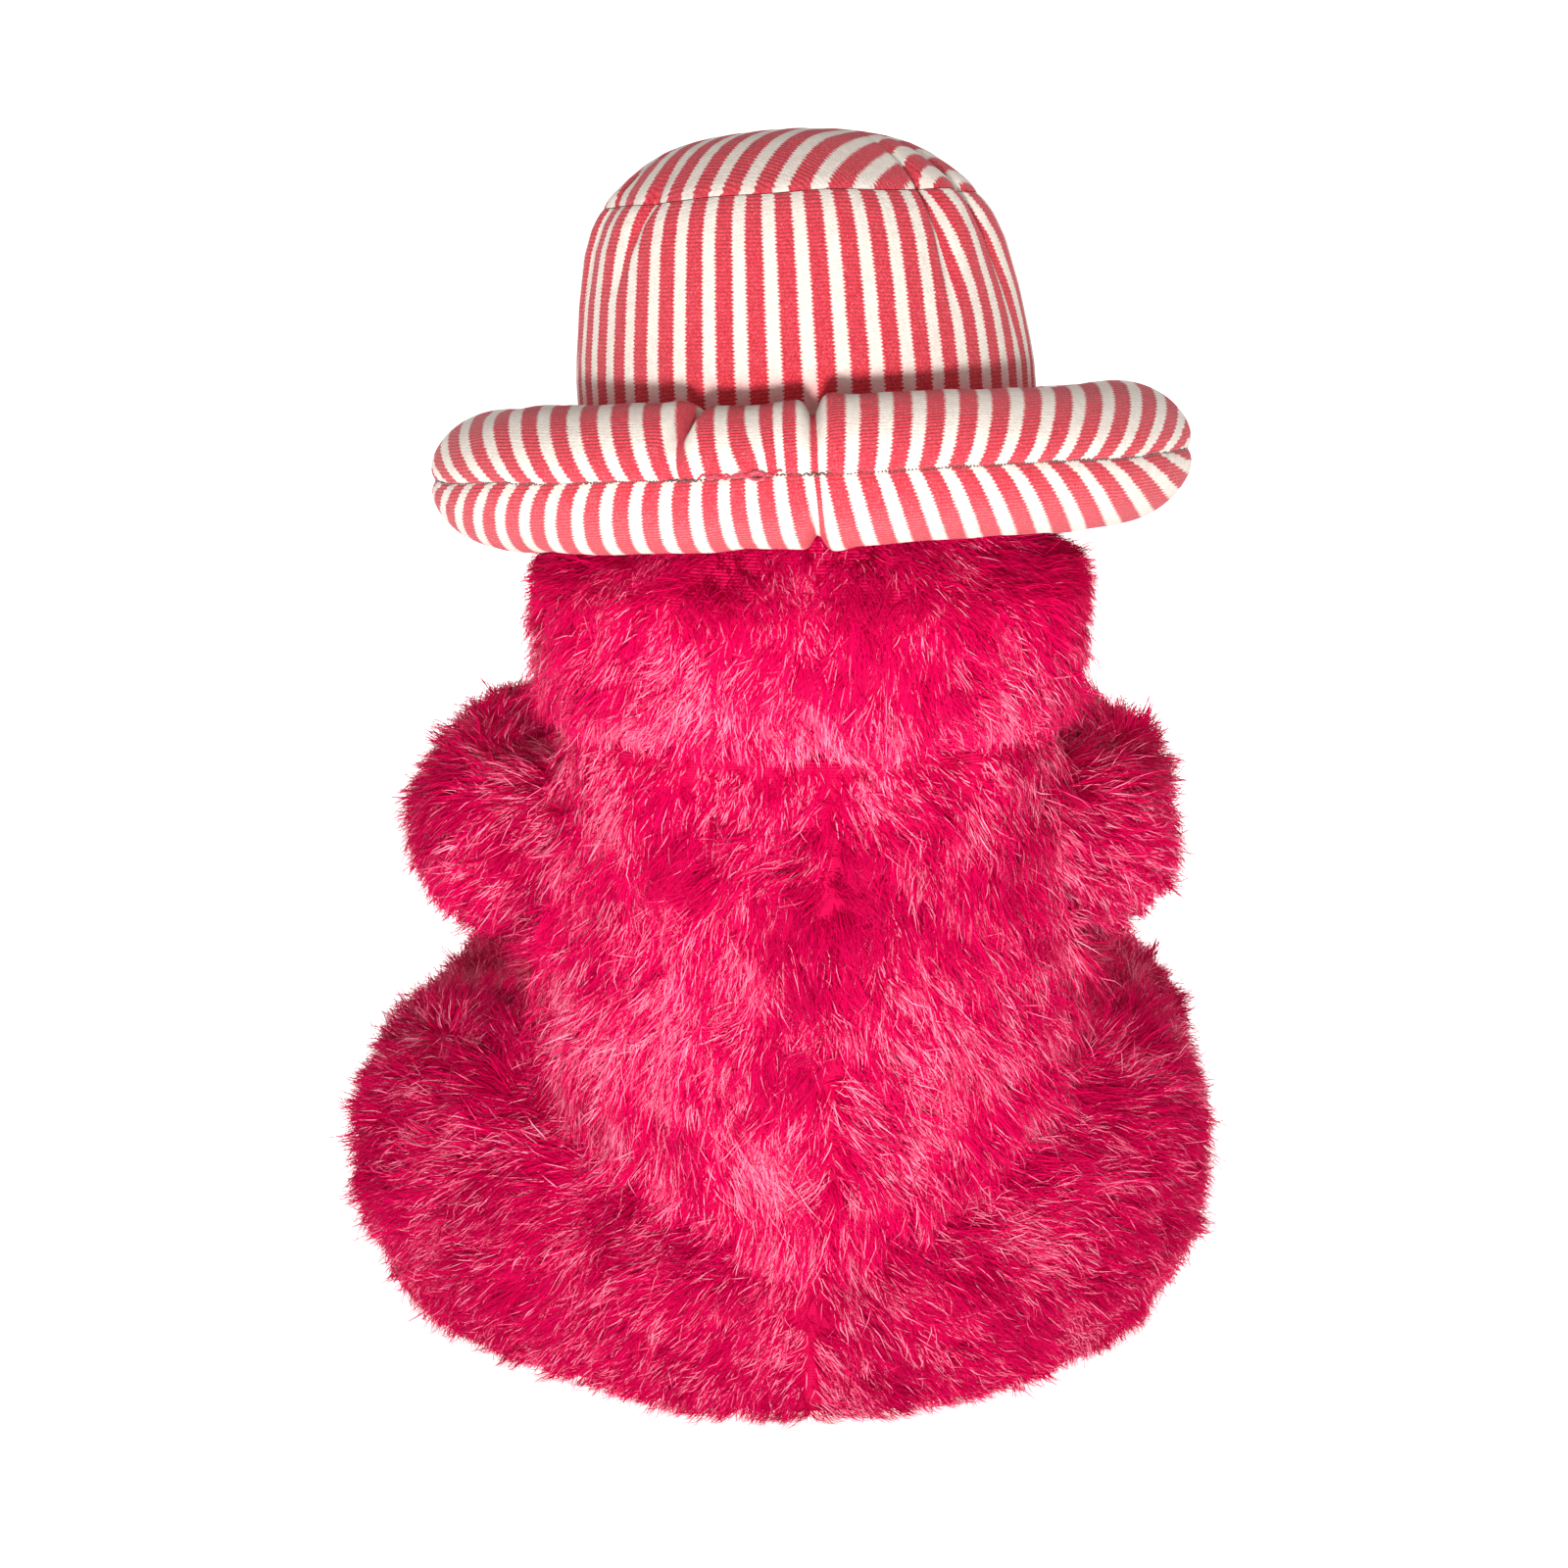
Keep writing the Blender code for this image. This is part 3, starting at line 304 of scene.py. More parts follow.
def piece(name, mesh, material, body, node=()):
    """A finished mesh as a piece that rides on a body and may stand for CAD nodes."""
    obj = mesh if isinstance(mesh, bpy.types.Object) else link(bpy.data.objects.new(name, mesh))
    obj.data.materials.clear()
    obj.data.materials.append(material)
    obj.data.shade_smooth()
    nodes = [node] if isinstance(node, str) else list(node)
    if nodes:
        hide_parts(*nodes)
    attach(obj, body)
    return obj


def grid(name, places, closed=True, maps=None):
    """A mesh over a grid of points, rows by columns. Closed grids join their last column to the first."""
    rows, columns = places.shape[:2]
    mesh = bpy.data.meshes.new(name)
    last = columns if closed else columns - 1

    def at(r, c):
        return r * columns + c % columns

    faces = [
        (at(r, c), at(r, c + 1), at(r + 1, c + 1), at(r + 1, c)) for r in range(rows - 1) for c in range(last)
    ]
    mesh.from_pydata(places.reshape(-1, 3).tolist(), [], faces)
    for layer, values in (maps or {}).items():
        uv = mesh.uv_layers.new(name=layer)
        corners = [
            values[i][j]
            for r in range(rows - 1)
            for c in range(last)
            for i, j in ((r, c), (r, c + 1), (r + 1, c + 1), (r + 1, c))
        ]
        uv.data.foreach_set("uv", np.array(corners, dtype=np.float32).ravel())
    return mesh


def weld(mesh, distance=1e-5):
    bm = bmesh.new()
    bm.from_mesh(mesh)
    bmesh.ops.remove_doubles(bm, verts=bm.verts, dist=distance)
    bmesh.ops.recalc_face_normals(bm, faces=bm.faces)
    bm.to_mesh(mesh)
    bm.free()
    return mesh


# ---------------------------------------------------------------- stuffed skins and their fur

BOTH = ("left", "right")
PLUSH = ("torso_plush", "head_plush")
PLUSH += tuple(f"{side}_{limb}_plush" for limb in ("leg", "arm") for side in BOTH)
BARE = ("face_panel", "muzzle")
BARE += tuple(f"{side}_{part}" for part in ("hand", "sole", "ear") for side in BOTH)
COVERED_BY = PLUSH + ("hat_crown",) + BARE


def tree_of(*objects):
    corners, faces = [], []
    for obj in objects:
        faces += [[len(corners) + v for v in face.vertices] for face in obj.data.polygons]
        corners += [v.co for v in obj.data.vertices]
    return BVHTree.FromPolygons(corners, faces)


TREES = {node: tree_of(frame["nodes"][node]) for node in COVERED_BY}
BARE_TREES = [tree_of(frame["nodes"][node]) for node in BARE]
INSIDE = ("battery_box", "speaker", "circuit_board", "gearbox_tray", "gearbox_lid", "motor", "neck_post")
HARD_TREE = tree_of(*[frame["nodes"][node] for node in INSIDE])


def relaxed(name, nodes, voxel=2.6 * MM, rounds=9):
    """One smoothed skin over CAD soft solids, as stuffing rounds it."""
    joined = bmesh.new()
    for node in nodes:
        joined.from_mesh(frame["nodes"][node].data)
    mesh = bpy.data.meshes.new("relaxed")
    joined.to_mesh(mesh)
    joined.free()
    copy = link(bpy.data.objects.new("relaxed", mesh))
    remesh = copy.modifiers.new("remesh", "REMESH")
    remesh.mode = "VOXEL"
    remesh.voxel_size = voxel
    smooth = copy.modifiers.new("smooth", "SMOOTH")
    smooth.factor = 0.5
    smooth.iterations = rounds
    return evaluated_copy(copy, name)


def open_to_air(places, normals, nodes, hollow=None, reach=3 * MM, across_room=0.11):
    """Which points of a cover aren't pressed against another piece or inside a hollow node's rooms."""
    others = [tree for name, tree in TREES.items() if name not in nodes]
    inner = np.zeros(len(places), dtype=bool)
    if hollow:
        inner = nearest_part(places, nodes) == nodes.index(hollow)
    found = np.ones(len(places), dtype=bool)
    for i, (place, normal) in enumerate(zip(places, normals)):
        start, way = Vector(place), Vector(normal)
        if inner[i] and TREES[hollow].ray_cast(start + way * MM, way, across_room)[0]:
            found[i] = False
        elif any(tree.ray_cast(start, way, reach)[0] for tree in others):
            found[i] = False
    return found


def clear_of_hard_parts(places, normals, inwards, gap=2 * MM, start=4 * MM):
    """How far each point of a skin can go in, or has to come out, to stay over the hard parts inside."""
    found = inwards.copy()
    for i in np.flatnonzero(normals[:, 2] > -0.5):
        place, normal = Vector(places[i]), Vector(normals[i])
        found[i] = min(found[i], HARD_TREE.find_nearest(place)[3] - gap)
        distance = HARD_TREE.ray_cast(place + normal * start, -normal, start + inwards[i] + gap)[3]
        if distance is not None:
            found[i] = min(found[i], distance - start - gap)
    return found


def gap_to_bare(places):
    """How far each point is from the nearest short-pile part, such as a sole."""
    return np.array([min(tree.find_nearest(Vector(place))[3] for tree in BARE_TREES) for place in places])


def nearest_part(places, nodes):
    """For each point, which of the nodes has the nearest surface."""
    gaps = [[TREES[node].find_nearest(Vector(place))[3] for place in places] for node in nodes]
    return np.argmin(gaps, axis=0)


def blurred(values, mesh, rounds):
    """values averaged with their neighbours' over a mesh, round by round."""
    edges = np.empty(len(mesh.edges) * 2, dtype=np.int32)
    mesh.edges.foreach_get("vertices", edges)
    a, b = edges.reshape(-1, 2).T
    links = np.bincount(edges, minlength=len(values))
    for _ in range(rounds):
        total = np.bincount(a, values[b], len(values)) + np.bincount(b, values[a], len(values))
        values = (values + total / np.maximum(links, 1)) / 2
    return values


def cover(name, nodes, body, insets, hollow=None):
    """The knitted skin of stuffed parts, each inset from its outer surface by about the depth of its pile."""
    obj = relaxed(name, nodes)
    mesh = obj.data
    places, normals = coordinates(mesh), normals_of(mesh)
    free = open_to_air(places, normals, nodes, hollow)
    free = blurred(free.astype(float), mesh, 4)
    inset = blurred(np.array(insets)[nearest_part(places, nodes)] * MM, mesh, 8)
    inset = inset * (1 - 0.6 * np.clip(normals[:, 2], 0, 1))
    sewn = 1 - 0.6 * np.exp(-(((places[:, 2] - NECK[2]) / (9 * MM)) ** 2))
    standing = np.clip((places[:, 2] - 2 * MM) / (14 * MM), 0.1, 1)
    joined = np.clip(gap_to_bare(places) / (9 * MM), 0.1, 1)
    inwards = clear_of_hard_parts(places, normals, inset * free * sewn * standing * joined)
    move_vertices(mesh, places - normals * inwards[:, None])
    piece(name, obj, BACKING, body, nodes)
    return mesh, free


def soft_noise(points, size, seed):
    """A smooth random vector for each point, changing over about size."""
    shift = Vector((seed * 7.31, seed * 3.17, seed * 5.53))
    return np.array([noise.noise_vector(Vector(p) / size + shift) for p in points])


def unit(vectors):
    return vectors / np.maximum(np.linalg.norm(vectors, axis=1, keepdims=True), 1e-9)


def spread_over(mesh, free, density):
    """Points scattered over a mesh's free area, so many to the square millimetre, with the normal at each."""
    places, normals = coordinates(mesh), normals_of(mesh)
    mesh.calc_loop_triangles()
    corners = np.empty(len(mesh.loop_triangles) * 3, dtype=np.int32)
    mesh.loop_triangles.foreach_get("vertices", corners)
    corners = corners.reshape(-1, 3)
    off_floor = places[corners][:, :, 2].max(axis=1) > 3 * MM
    corners = corners[(free[corners].min(axis=1) > 0.3) & off_floor]
    a, b, c = (places[corners[:, k]] for k in range(3))
    area = np.linalg.norm(np.cross(b - a, c - a), axis=1) / 2
    count = int(area.sum() / MM**2 * density)
    chosen = rng.choice(len(corners), count, p=area / area.sum())
    u, v = rng.random((2, count, 1))
    flip = u + v > 1
    u, v = np.where(flip, 1 - u, u), np.where(flip, 1 - v, v)
    points = a[chosen] + (b[chosen] - a[chosen]) * u + (c[chosen] - a[chosen]) * v
    ways = normals[corners[chosen]].mean(axis=1)
    return points, unit(ways)


STRANDS_IN_PIECE = 36000  # at most


def strands_mesh(name, roots, bends, tips, width, faces_to, shade):
    """Tapered crimped ribbons along quadratic curves, three segments each, with a map of shade and length."""
    count = len(roots)
    steps = np.array([0.0, 0.36, 0.72, 1.0])
    taper = np.array([0.9, 1.0, 0.75, 0.0])
    line = [roots * (1 - t) ** 2 + bends * 2 * t * (1 - t) + tips * t**2 for t in steps]
    for k in (1, 2):
        line[k] = line[k] + rng.normal(0, 0.3 * MM, (count, 3))
    places = np.empty((count, 7, 3))
    for k in range(4):
        before, after = line[max(k - 1, 0)], line[min(k + 1, 3)]
        twisted = faces_to + 0.22 * rng.normal(0, 1, (count, 3))
        across = unit(np.cross(after - before, twisted)) * (width * taper[k] / 2)[:, None]
        if k < 3:
            places[:, 2 * k], places[:, 2 * k + 1] = line[k] - across, line[k] + across
        else:
            places[:, 6] = line[k]
    places[:, :, 2] = np.maximum(places[:, :, 2], 0.4 * MM)
    corners = np.array([0, 1, 3, 2, 2, 3, 5, 4, 4, 5, 6])
    heights = np.array([0, 0, 0.36, 0.36, 0.36, 0.36, 0.72, 0.72, 0.72, 0.72, 1.0])
    mesh = bpy.data.meshes.new(name)
    mesh.vertices.add(count * 7)
    mesh.loops.add(count * 11)
    mesh.polygons.add(count * 3)
    mesh.vertices.foreach_set("co", places.astype(np.float32).ravel())
    mesh.loops.foreach_set("vertex_index", (np.arange(count)[:, None] * 7 + corners).astype(np.int32).ravel())
    starts = (np.arange(count)[:, None] * 11 + np.array([0, 4, 8])).astype(np.int32)
    mesh.polygons.foreach_set("loop_start", starts.ravel())
    uv = mesh.uv_layers.new(name="OFBake")
    u = np.repeat(np.clip(shade, 0.02, 0.98)[:, None], 11, axis=1)
    v = np.repeat((heights * 0.96 + 0.02)[None, :], count, axis=0)
    uv.data.foreach_set("uv", np.stack([u, v], axis=2).astype(np.float32).ravel())
    mesh.update(calc_edges=True)
    return mesh


def grow(name, mesh, free, body, groom, density=2.5, per_lock=12, length=12 * MM, radius=2.7 * MM):
    """Fur in locks on a skin.

    groom(points from the neck's axis) gives the pile's lie, share of the full length, lift in degrees, share
    of strands with a painted highlight, and tone from dark to light, which holds painted shade and light.
    """
    few = 1.0
    centres, ways = spread_over(mesh, free, few * density / per_lock)
    locks = len(centres)
    local = centres - AXIS
    lie, reach, lift, painted_highlight_share, tone_and_shade = groom(local)
    lie = lie + 0.6 * soft_noise(local, 0.034, 1) + 0.85 * soft_noise(local, 0.012, 2)
    lie = unit(lie - (lie * ways).sum(1, keepdims=True) * ways)
    side = np.cross(ways, lie)
    patches, ruffle = soft_noise(local, 0.021, 3), soft_noise(local, 0.009, 4)
    fluffed = rng.random(locks) < 0.1
    rise = np.radians(lift + 28 * patches[:, 0] + 20 * ruffle[:, 0] + rng.normal(0, 4, locks) + 14 * fluffed)
    rise = rise.clip(0.12, 1.2)
    grown = (1 + 0.25 * ruffle[:, 1] + rng.normal(0, 0.1, locks) + 0.2 * fluffed).clip(0.5, 1.4)
    lock_length = length * reach * grown
    straight = lie * np.cos(rise)[:, None] + ways * np.sin(rise)[:, None]
    room = room_ahead(centres, straight, lock_length)
    lock_length = np.minimum(lock_length, room * 0.9)
    # tone: random patches, plus the groom's painted shade (darker legs and arms) and painted light (lighter
    # under the brim)
    lock_tone_and_shade = tone_and_shade + 0.3 * patches[:, 2] + rng.normal(0, 0.07, locks)
    # painted highlights: a share of the strands in each lock, larger where the lock lies flat
    sleek = np.clip((radians(46) - rise) / radians(34), 0, 1)
    lock_painted_highlight_share = 1.7 * painted_highlight_share * sleek * np.clip(1 + 1.7 * ruffle[:, 2] + 0.7 * patches[:, 1], 0.2, 2.0)
    swing, curl = rng.normal(0, 0.22, locks), rng.normal(0, 0.34, locks)

    def each(values):
        return np.repeat(values, per_lock, axis=0)

    count = locks * per_lock
    ways, lie, side, centres = each(ways), each(lie), each(side), each(centres)
    stray = rng.random(count) < 0.12
    turn = each(swing) + rng.normal(0, 0.12, count) + stray * rng.normal(0, 0.45, count)
    cosine, sine = np.cos(turn)[:, None], np.sin(turn)[:, None]
    lie, side = lie * cosine + side * sine, side * cosine - lie * sine
    rise = (each(rise) + rng.normal(0, 0.09, count) + stray * rng.normal(0.1, 0.2, count)).clip(0.1, 1.35)
    long = (each(lock_length) * (1 + rng.normal(0, 0.15, count)).clip(0.5, 1.3))[:, None]
    spot = rng.random(count) * tau
    away = radius * np.sqrt(rng.random(count))
    off = side * (0.8 * np.cos(spot) * away)[:, None] + lie * (1.2 * np.sin(spot) * away)[:, None]
    roots = centres + off - ways * 0.7 * MM
    drawn_in = np.where(stray, 0.0, 0.45 + 0.3 * each(fluffed))[:, None]
    tips = roots - off * drawn_in + (lie * np.cos(rise)[:, None] + ways * np.sin(rise)[:, None]) * long
    steep = (rise + 0.5).clip(0.2, 1.5)[:, None]
    bends = roots + (lie * np.cos(steep) + ways * np.sin(steep) + side * each(curl)[:, None]) * long * 0.5
    bends -= off * drawn_in * 0.35
    width = (0.18 + 0.14 * rng.random(count)) * MM
    faces_to = ways + 0.24 * rng.normal(0, 1, (count, 3))
    # strands with a painted highlight take the pale pink end of the map
    painted_highlight = rng.random(count) < each(lock_painted_highlight_share)
    shade = (each(lock_tone_and_shade) + rng.normal(0, 0.14, count)).clip(0.02, SHADED_LAST)
    shade = np.where(painted_highlight, PAINTED_HIGHLIGHT_FIRST + 0.18 * rng.random(count), shade)
    parts = int(np.ceil(count / STRANDS_IN_PIECE))
    for part in range(parts):
        one = slice(part, None, parts)
        made = strands_mesh(
            f"{name}_{part + 1}", roots[one], bends[one], tips[one], width[one], faces_to[one], shade[one]
        )
        piece(made.name, made, FUR, body)


def room_ahead(starts, ways, lengths):
    """How far a lock can reach before a bare piece of the toy."""
    room = lengths * 1.2
    for i, (start, way, length) in enumerate(zip(starts, ways, lengths)):
        for tree in BARE_TREES:
            distance = tree.ray_cast(Vector(start), Vector(way), length * 1.2)[3]
            if distance is not None:
                room[i] = min(room[i], distance)
    return room


def torso_groom(p):
    """Down the back, spreading from the neck, short where the neck is sewn, flat and sleek low down, with
    more painted highlights there.
    """
    count, below = len(p), NECK[2] - p[:, 2]
    from_parting = p[:, 0] + 5 * MM
    parted = np.sign(from_parting) * 0.6 * np.exp(-np.abs(from_parting) / (7 * MM)) * (p[:, 1] > 0)
    lie = np.stack([p[:, 0] * 9 + parted, np.sign(p[:, 1]) * 0.1, -np.ones(count)], axis=1)
    seam = np.clip(below / (14 * MM), 0, 1)
    upright = np.exp(-(((below - 34 * MM) / (15 * MM)) ** 2)) * np.exp(-((p[:, 0] / (30 * MM)) ** 2))
    low_down = np.clip((below - 45 * MM) / (30 * MM), 0, 1)
    lift = (19 + 24 * upright - 3 * low_down) * (0.5 + 0.5 * seam)
    return lie, 0.42 + 0.58 * seam, lift, 0.32 + 0.06 * low_down, np.full(count, 0.62)


def head_groom(p):
    """Down and outwards, fanned at the sides, short at the neck seam and upright under the brim, where
    painted light makes the strands lighter, with fewer painted highlights.
    """
    out = np.stack([p[:, 0], p[:, 1], np.zeros(len(p))], axis=1) / (72 * MM)
    lie = np.stack([p[:, 0] * 8, np.zeros(len(p)), -np.ones(len(p))], axis=1) + 0.2 * out
    above = p[:, 2] - NECK[2]
    seam = np.clip(above / (14 * MM), 0, 1)
    brim = np.clip((above - 24 * MM) / (12 * MM), 0, 1)
    lift = 21 * (0.4 + 0.6 * seam) + 12 * brim
    # under the brim: the lighter tone is painted light against the brim's shadow
    return lie, 0.42 + 0.58 * seam - 0.36 * brim, lift, 0.36 - 0.22 * brim, 0.6 + 0.6 * brim


def leg_groom(p):
    """From the seat's middle seam round to the feet, and down towards the floor."""
    count, side = len(p), np.sign(p[:, 0])
    across = side * np.clip(p[:, 1] * 20, -0.3, 1)
    along = -np.clip(np.abs(p[:, 0]) * 12, 0, 1)
    lie = np.stack([across, along, -0.9 * np.ones(count)], axis=1)
    reach = 0.62 + 0.28 * np.clip((p[:, 2] - 12 * MM) / (30 * MM), 0, 1)
    # a darker tone than the torso's: painted shade
    return lie, reach, np.full(count, 21.0), np.full(count, 0.24), np.full(count, 0.38)


SEATED = ["torso_plush", "left_leg_plush", "right_leg_plush"]


def body_groom(p):
    """The torso's pile where the skin is the torso's, and the legs' where it is theirs."""
    on_torso = nearest_part(p + AXIS, SEATED) == 0
    pairs = zip(torso_groom(p), leg_groom(p))
    return [np.where(on_torso[:, None] if back.ndim == 2 else on_torso, back, leg) for back, leg in pairs]


def arm_groom(p):
    """Along the arm to the hand and down."""
    count = len(p)
    across = np.sign(p[:, 0]) * np.clip((p[:, 1] + 0.03) * 20, -0.6, 0.8)
    lie = np.stack([across, np.full(count, -0.5), np.full(count, -0.75)], axis=1)
    # a darker tone than the torso's: painted shade
    return lie, np.full(count, 0.9), np.full(count, 23.0), np.full(count, 0.26), np.full(count, 0.34)


def furry_parts():
    mesh, free = cover("body_cover", SEATED, "body", (4.2, 5.8, 5.8), "torso_plush")
    grow("body_fur", mesh, free, "body", body_groom)
    mesh, free = cover("head_cover", ["head_plush"], "head", (4,), "head_plush")
    grow("head_fur", mesh, free, "head", head_groom, density=2.8, length=11.5 * MM)
    for side in ("left", "right"):
        mesh, free = cover(side + "_sleeve", [side + "_arm_plush"], side + "_arm", (4.3,))
        grow(side + "_sleeve_fur", mesh, free, side + "_arm", arm_groom)


# ---------------------------------------------------------------- the hat

HAT_TURN = np.array(Matrix.Rotation(radians(2.6), 3, "Y") @ Matrix.Rotation(radians(7.3), 3, "X"))
PERIOD = 7.9 * MM  # one red and one ivory stripe
BRIM_MIDDLE = 78.4 * MM
BRIM_EDGE = BRIM_MIDDLE + 18.4 * MM
SEAM_HEIGHT = 67 * MM
FAR_UP = 200 * MM  # keeps the cloth map of the brim and the crown's top away from the crown's foot and its painted red reflection
# Folds of the crown: angles at its seam and at the fold's foot, depth and length in mm, and stripes drawn in
FOLDS = (
    (-47, -56, 3.2, 24, 0.6),
    (-72, -84, 2.6, 44, 0.9),
    (43, 40, 5.0, 31, 1.3),
    (61, 68, 3.0, 42, 0.9),
    (112, 106, 1.8, 40, 0.8),
    (158, 160, 2.6, 40, 1.0),
    (-122, -118, 2.2, 40, 0.9),
    (-160, -158, 1.4, 40, 0.6),
)
# The crown's side and top: height and radius, in mm
CROWN_PROFILE = (
    (0, 58.9), (10, 59.3), (24, 59.2), (30, 58.6), (43, 56.6), (55.5, 53.9), (62, 51.4), (67, 48.5),
    (70.5, 45.6), (74.6, 41), (78, 36.5), (80.9, 31.2), (83, 25), (84.6, 17), (85.3, 9), (85.5, 0.05),
)


def hat_place(points):
    low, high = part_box("hat_brim")
    centre = (np.array(low) + np.array(high)) / 2
    return points @ HAT_TURN.T + centre


def around(steps):
    """Angles round the hat from the middle of the back towards the toy's right."""
    return np.linspace(0, tau, steps, endpoint=False)


def turned_points(angles, radius, height):
    """Points on the hat at an angle, radius and height each."""
    return np.stack([-radius * np.sin(angles), radius * np.cos(angles), height], axis=-1)


def wrapped(angles):
    return (angles + pi) % tau - pi


def dent(angles, at, width):
    """A smooth dip at one angle, both in degrees."""
    return np.exp(-((wrapped(angles - radians(at)) / radians(width)) ** 2))


def wobble(angles, count, seed):
    """A smooth closed random wave round the hat."""
    return np.array([noise.noise(Vector((cos(a) * count, sin(a) * count, seed * 9.7))) for a in angles])


def step_down(angles, start, end, amount):
    """Zero above start, falling smoothly to -amount below end, in degrees either side of the back."""
    share = np.clip((radians(start) - wrapped(angles)) / radians(start - end), 0, 1)
    ahead = np.clip((wrapped(angles) + radians(178)) / radians(30), 0, 1)
    return -amount * share**2 * (3 - 2 * share) * ahead


def brim(side, seed):
    """One cloth of the stuffed brim, from the outer seam (row 0) in to the crown."""
    angles = around(720)
    turns = np.concatenate([np.linspace(0, 0.5, 12), np.linspace(0.6, pi - 0.3, 24)])
    closed = np.append(angles, tau)
    if side > 0:
        gathers = 0.24 * dent(angles, 0.6, 1.3) + 0.28 * dent(angles, -19, 1.3) + 0.07 * dent(angles, -9, 8)
        gathers = gathers - 0.05 * dent(angles, 4, 2.2) - 0.04 * dent(angles, -22.5, 2.2)
        extra = step_down(closed, 1.4, 0, 0.48) + step_down(closed, -1, -8, 0.48)
        extra = extra + step_down(closed, -9, -16, 0.1) + step_down(closed, -18.2, -19.6, 0.36)
    else:
        gathers = 0.2 * dent(angles, 0.6, 1.2) + 0.06 * dent(angles, -12, 4) - 0.04 * dent(angles, 4, 2.2)
        extra = step_down(closed, 1.6, 0, 0.7) + step_down(closed, -3, -18, 0.28)
    gathers = gathers + 0.05 * dent(angles, 150, 3) + 0.05 * dent(angles, -140, 3)
    full = 1 + 0.04 * wobble(angles, 2.2, seed) + 0.02 * wobble(angles, 9, seed + 3) - gathers
    rows, maps = [], []
    for turn in turns:
        crease = 1.9 * MM * np.exp(-turn / 0.13)
        pucker = 0.5 * MM * np.exp(-((turn / 0.45) ** 2)) * wobble(angles, 30, seed + 5)
        radius = BRIM_MIDDLE + 20.3 * MM * np.cos(turn) * (0.8 + 0.2 * full) - crease + pucker
        height = side * 17.7 * MM * np.sin(turn) * full + 0.9 * MM * wobble(angles, 3, 11)
        rows.append(turned_points(angles, radius, height))
        flat = 57 * MM + 53 * MM * (1 - turn / (pi - 0.3))
        lean, phase = (1, 0.0) if side > 0 else (8.5, -0.23)
        bent = wrapped(closed + radians(lean))
        count = flat * np.sin(bent) / PERIOD
        near_knot = dent(closed, -8, 3) * np.exp(-((turn / 0.5) ** 2)) if side > 0 else 0
        maps.append([(c, turn * 18.5 * MM + FAR_UP) for c in count - phase + extra - 0.35 * near_knot])
    name = "brim_upper" if side > 0 else "brim_lower"
    return grid(name, hat_place(np.array(rows)), maps={"stripes": maps})


def crown_radius(height):
    """The crown's side, swelling above the brim and drawn in at the top seam."""
    heights, radii = zip(*CROWN_PROFILE)
    return np.interp(height, heights, radii)


def folded(angles, height):
    """How far the crown's folds move its cloth in, and how far they draw its stripes along."""
    inward, drawn = np.zeros(len(angles)), np.zeros(len(angles))
    for top, low, deep, reach, pull in FOLDS:
        down = (SEAM_HEIGHT - height) / (reach * MM)
        strength = np.clip(1 - down, 0, 1) ** 1.1 if down > 0 else np.clip(1 + down * 1.4, 0, 1) ** 1.5
        at = top + (low - top) * np.clip(down, 0, 1)
        outer = 1 if top > 0 else -1
        inward += deep * MM * strength * (dent(angles, at, 2.3) - 0.5 * dent(angles, at + 8.5 * outer, 5.5))
        turn = outer * wrapped(angles - radians(at))
        beyond = np.where(turn > 0, 1 - np.exp(-turn / radians(1.8)), 0.2 * (np.exp(turn / radians(3)) - 1))
        drawn += outer * pull * strength * beyond * np.exp(-np.abs(turn) / radians(30))
    return inward, drawn


def crown_shape(angles, levels):
    """Rows of points up the crown, and how far the stripes are drawn along at each."""
    rows, draws = [], []
    for level in levels:
        height = level * MM
        inward, _ = folded(angles, height)
        share = crown_radius(level) / 59
        slack = 1.1 * MM * wobble(angles, 1.6, 21) * min(level / 30, share)
        radius = crown_radius(level) * MM - inward * share + slack
        near = np.exp(-abs(level - 67) / 1.2)
        radius = radius - 0.9 * MM * near + 0.4 * MM * np.exp(-abs(level - 67) / 6) * wobble(angles, 26, 23)
        rise = height + 0.9 * MM * wobble(angles, 2, 27) * min(level / 67, share * 1.2)
        points = turned_points(angles, radius, rise)
        points[:, 0] += 2.2 * MM * (level / 80) ** 2
        rows.append(points)
        draws.append(folded(np.append(angles, tau), height)[1])
    return rows, draws


def crown_side():
    angles = around(720)
    levels = np.concatenate([np.linspace(0, 60, 31), np.linspace(61, 66.9, 10)])
    rows, draws = crown_shape(angles, levels)
    closed = np.append(angles, tau)
    maps = [
        [(c, level * MM) for c in closed * 45 / tau + drawn + 0.42]
        for level, drawn in zip(levels, draws)
    ]
    return grid("crown_side", hat_place(np.array(rows)), maps={"stripes": maps})


def crown_top():
    levels = np.concatenate([np.linspace(67.1, 70, 6), np.linspace(71, 84, 20), [84.8, 85.2, 85.4, 85.5]])
    rows, _ = crown_shape(around(360), levels)
    turn = radians(30)
    maps = []
    for points in rows:
        closed = np.vstack([points, points[:1]])
        across = cos(turn) * closed[:, 0] - sin(turn) * closed[:, 1]
        along = sin(turn) * closed[:, 0] + cos(turn) * closed[:, 1]
        maps.append(list(zip(across / PERIOD, along + FAR_UP)))
    return grid("crown_top", hat_place(np.array(rows)), maps={"stripes": maps})


def tube(name, centres, radius, material, body, sides=6):
    """A thread along a line of points."""
    centres = np.array(centres)
    ways = unit(np.gradient(centres, axis=0))
    side = unit(np.cross(ways, (0.13, 0.31, 0.94)))
    up = np.cross(ways, side)
    rows = [
        side * cos(turn) * radius + up * sin(turn) * radius + centres
        for turn in np.linspace(0, tau, sides, endpoint=False)
    ]
    made = grid(name, np.stack(rows, axis=1))
    return piece(name, made, material, body)


